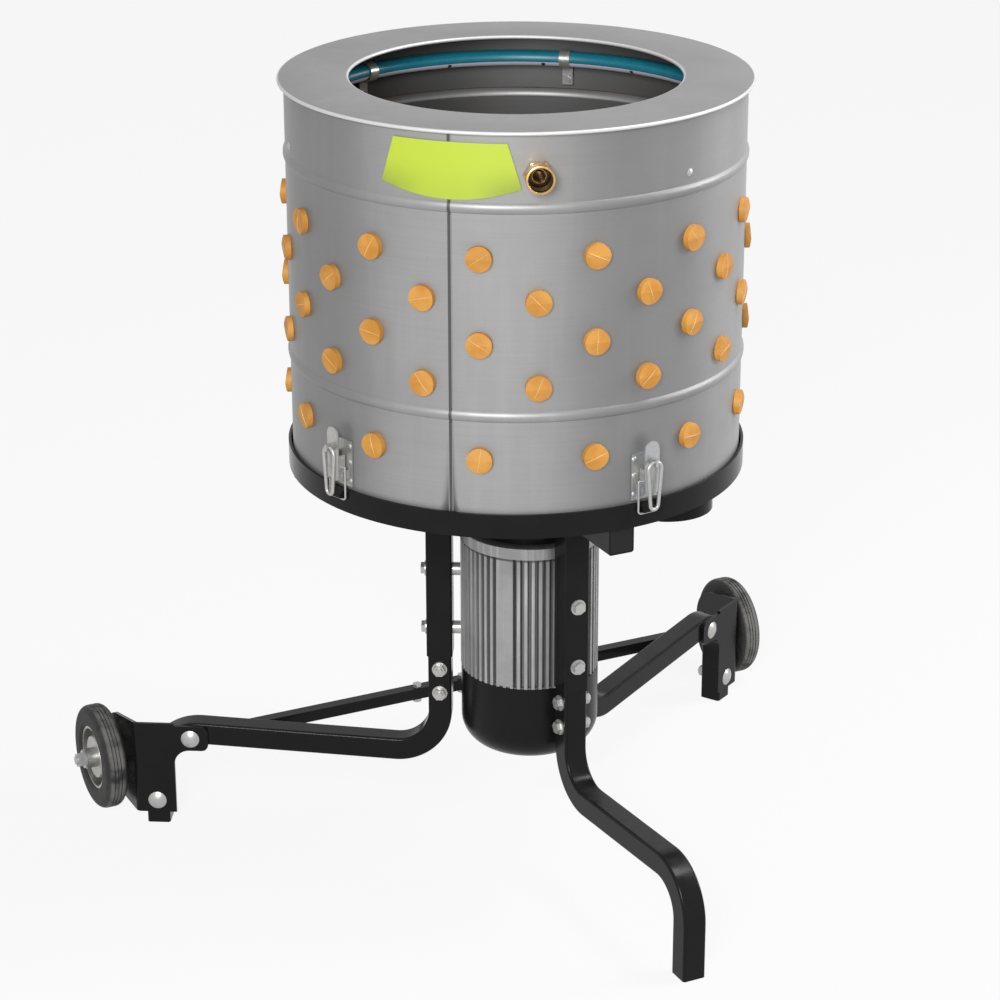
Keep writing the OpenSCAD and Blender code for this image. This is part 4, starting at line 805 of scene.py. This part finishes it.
def bead_along(shape, corners, radius, ripple=0.0016, sides=8):
    path = [corners[0]]
    for start, end in zip(corners, corners[1:]):
        count = max(2, round((end - start).length / ripple))
        path += [start.lerp(end, i / count) for i in range(1, count + 1)]

    def stand(index):
        ahead = path[min(index + 1, len(path) - 1)] - path[max(index - 1, 0)]
        is_end = index in (0, len(path) - 1)
        swell = end_swell if is_end else 1.0 - ripple_depth * (index % 2)
        widths = Vector((swell, swell, swell))
        return Matrix.LocRotScale(path[index], ahead.to_track_quat("Z", "Y"), widths)

    ring = bmesh.ops.create_circle(shape, segments=sides, radius=radius, matrix=stand(0))["verts"]
    edges = edges_of(ring)
    shape.faces.new(ring)
    for index in range(1, len(path)):
        grown = bmesh.ops.extrude_edge_only(shape, edges=edges)["geom"]
        ring = [item for item in grown if isinstance(item, bmesh.types.BMVert)]
        edges = [edge for edge in grown if isinstance(edge, bmesh.types.BMEdge)]
        edges = [edge for edge in edges if all(vert in ring for vert in edge.verts)]
        bmesh.ops.transform(shape, matrix=stand(index) @ stand(index - 1).inverted(), verts=ring)
    bmesh.ops.holes_fill(shape, edges=edges)


# %% Welds round the tops of the posts
leg_headings = [radians(-90 + 120 * turn) for turn in range(3)]
post_reach = 0.1035
half_tube = 0.015
post_top = pan_low - 2 * half_tube
beam_inner_r = 0.090
post_bead_r = 0.0022

weld_shape = bmesh.new()
for heading in leg_headings:
    leg_frame = round_axis(motor_axis, heading, post_top)
    to_drum = leg_frame.to_3x3().inverted() @ (drum_axis - motor_axis)
    beam_start = max(post_reach - half_tube, beam_inner_r + to_drum.x)
    outer = post_reach + half_tube
    low_side = max(-half_tube, to_drum.y - half_tube)
    high_side = min(half_tube, to_drum.y + half_tube)
    corners = [
        (beam_start, low_side, 0), (outer, low_side, 0),
        (outer, high_side, 0), (beam_start, high_side, 0)]
    if low_side > -half_tube:
        corners = corners[1:]
    if high_side < half_tube:
        corners = corners[:-1]
    bead_along(weld_shape, [leg_frame @ Vector(corner) for corner in corners], post_bead_r)
print("post welds: vertices", len(weld_shape.verts))

# %% Stitch welds between the beams and the pan
stitch_starts = (0.135, 0.195)
stitch_length = 0.035
stitch_bead_r = 0.0018
stitch_sink = 0.0010

for heading in leg_headings:
    beam_frame = round_axis(drum_axis, heading, pan_low)
    for side in (-1, 1):
        aside = side * (half_tube - stitch_sink)
        for start in stitch_starts:
            ends = [(start, aside, -stitch_sink), (start + stitch_length, aside, -stitch_sink)]
            bead_along(weld_shape, [beam_frame @ Vector(end) for end in ends], stitch_bead_r)
print("post and stitch welds: vertices", len(weld_shape.verts))

# %% Weld round the outlet collar
outlet_angle = radians(-90 + 39)
outlet_reach = 0.182
collar_r = 0.052
collar_points = 48
collar_sink = 0.0006
collar_bead_r = 0.0016

outlet_frame = round_axis(drum_axis, outlet_angle, pan_low) @ Matrix.Translation((outlet_reach, 0, 0))
collar_angles = [tau * i / collar_points for i in range(collar_points)]
collar = [Vector((collar_r * cos(angle), collar_r * sin(angle), -collar_sink)) for angle in collar_angles]
bead_along(weld_shape, [outlet_frame @ point for point in collar + collar[:1]], collar_bead_r)
piece("weld_beads", weld_shape, "black_coat")

# %% [markdown]
# Mould lines on the finger heads
#
# Each rubber finger is cast in a mould of two halves, and a thin pale line of flash runs
# across its head where they met. The fingers were pushed in at any turn, so the lines point
# everywhere. Each line is a thin four-sided bead that goes up one slope of the blunt head
# and down the other.

# %% Flash lines on the fingers of the drum
finger_columns = 26
column_step = tau / finger_columns
first_column = radians(-90 - 21.3)
drum_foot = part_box("drum_shell")[0].z
finger_rows = [(0.160, 0.252), (0.080, 0.206, 0.298)]
head_r = 0.01375
head_height = 0.007
head_top = drum_r + head_height
head_fall = 0.0016
flash_r = 0.0005
flash_share = 0.92
flash_step = 0.006
line_step = radians(67)

flash_shape = bmesh.new()
line_turn = 0.0
for column in range(finger_columns):
    for row in finger_rows[column % 2]:
        head_frame = round_axis(drum_axis, first_column + column * column_step, drum_foot + row)
        line_turn = (line_turn + line_step) % pi
        across = flash_share * head_r * Vector((cos(line_turn), sin(line_turn)))
        low = head_top - head_fall * abs(across.y) / head_r
        ends = [(low, -across.x, -across.y), (head_top, 0, 0), (low, across.x, across.y)]
        line = [head_frame @ Vector(end) for end in ends]
        bead_along(flash_shape, line, flash_r, ripple=flash_step, sides=4)
piece("finger_flash", flash_shape, "finger_rubber", look="pale_rubber")

# %% [markdown]
# The studio
#
# The floor is pale and the background white. Camera, glossy and transmitted rays see the
# world and most of the floor as plain white, while other rays get a gentler world, so the
# object is lit mostly by three soft lamps and the floor still holds its shadow. The key and
# the fill are large. The one at the top is smaller, for the glints on beads and bends.

# %% Floor and world
floor_half = 30.0
floor_glow = 0.90
world_fill = 0.15


def ray_is(wire, *kinds):
    total = 0
    for kind in kinds:
        total = wire.node("LightPath", {}, {}, kind) + total
    return wire.maths("MINIMUM", total, 1.0)


def white_floor():
    shape = bmesh.new()
    bmesh.ops.create_grid(shape, x_segments=1, y_segments=1, size=floor_half)
    mesh = bpy.data.meshes.new("floor")
    shape.to_mesh(mesh)
    shape.free()
    floor = bpy.data.objects.new("floor", mesh)
    bpy.context.scene.collection.objects.link(floor)
    material = bpy.data.materials.new("floor_white")
    material.use_nodes = True
    wire = Wire(material.node_tree)
    shader = material.node_tree.nodes["Principled BSDF"]
    shader.inputs["Base Color"].default_value = grey(0.60)
    shader.inputs["Roughness"].default_value = 0.9
    glow = wire.node("Emission", {}, {"Color": grey(1.0), "Strength": 1.0})
    seen = ray_is(wire, "Is Camera Ray", "Is Glossy Ray", "Is Transmission Ray") * floor_glow
    mixed = wire.node("MixShader", {}, {0: seen, 1: Wire(wire.tree, shader.outputs[0]), 2: glow})
    wire.feed(material.node_tree.nodes["Material Output"].inputs["Surface"], mixed)
    mesh.materials.append(material)


white_floor()
world = bpy.data.worlds.new("studio")
world.use_nodes = True
bpy.context.scene.world = world
sky = Wire(world.node_tree)
seen_directly = ray_is(sky, "Is Camera Ray", "Is Glossy Ray", "Is Transmission Ray")
background = world.node_tree.nodes["Background"]
background.inputs["Color"].default_value = grey(1.0)
sky.feed(background.inputs["Strength"], world_fill + (1 - world_fill) * seen_directly)
print("floor and world ready")


# %% Soft lamps
def soft_lamp(name, place_at, look_at, size, watts):
    lamp = bpy.data.lights.new(name, "AREA")
    lamp.shape = "RECTANGLE"
    lamp.size, lamp.size_y = size
    lamp.energy = watts
    holder = bpy.data.objects.new(name, lamp)
    holder.location = place_at
    heading = Vector(look_at) - Vector(place_at)
    holder.rotation_euler = heading.to_track_quat("-Z", "Y").to_euler()
    bpy.context.scene.collection.objects.link(holder)


target = (0.0, 0.0, 0.55)
soft_lamp("key", (-2.1, -2.7, 2.1), target, (1.1, 1.4), 130.0)
soft_lamp("fill", (2.9, -1.0, 1.7), target, (1.0, 1.4), 60.0)
soft_lamp("top", (1.3, -0.5, 3.0), target, (0.8, 0.8), 36.0)
print("lamps ready")

# %% [markdown]
# Closing
#
# The view transform is Standard, so a colour comes out about as it was written.

# %% View transform
bpy.context.scene.view_settings.view_transform = "Standard"
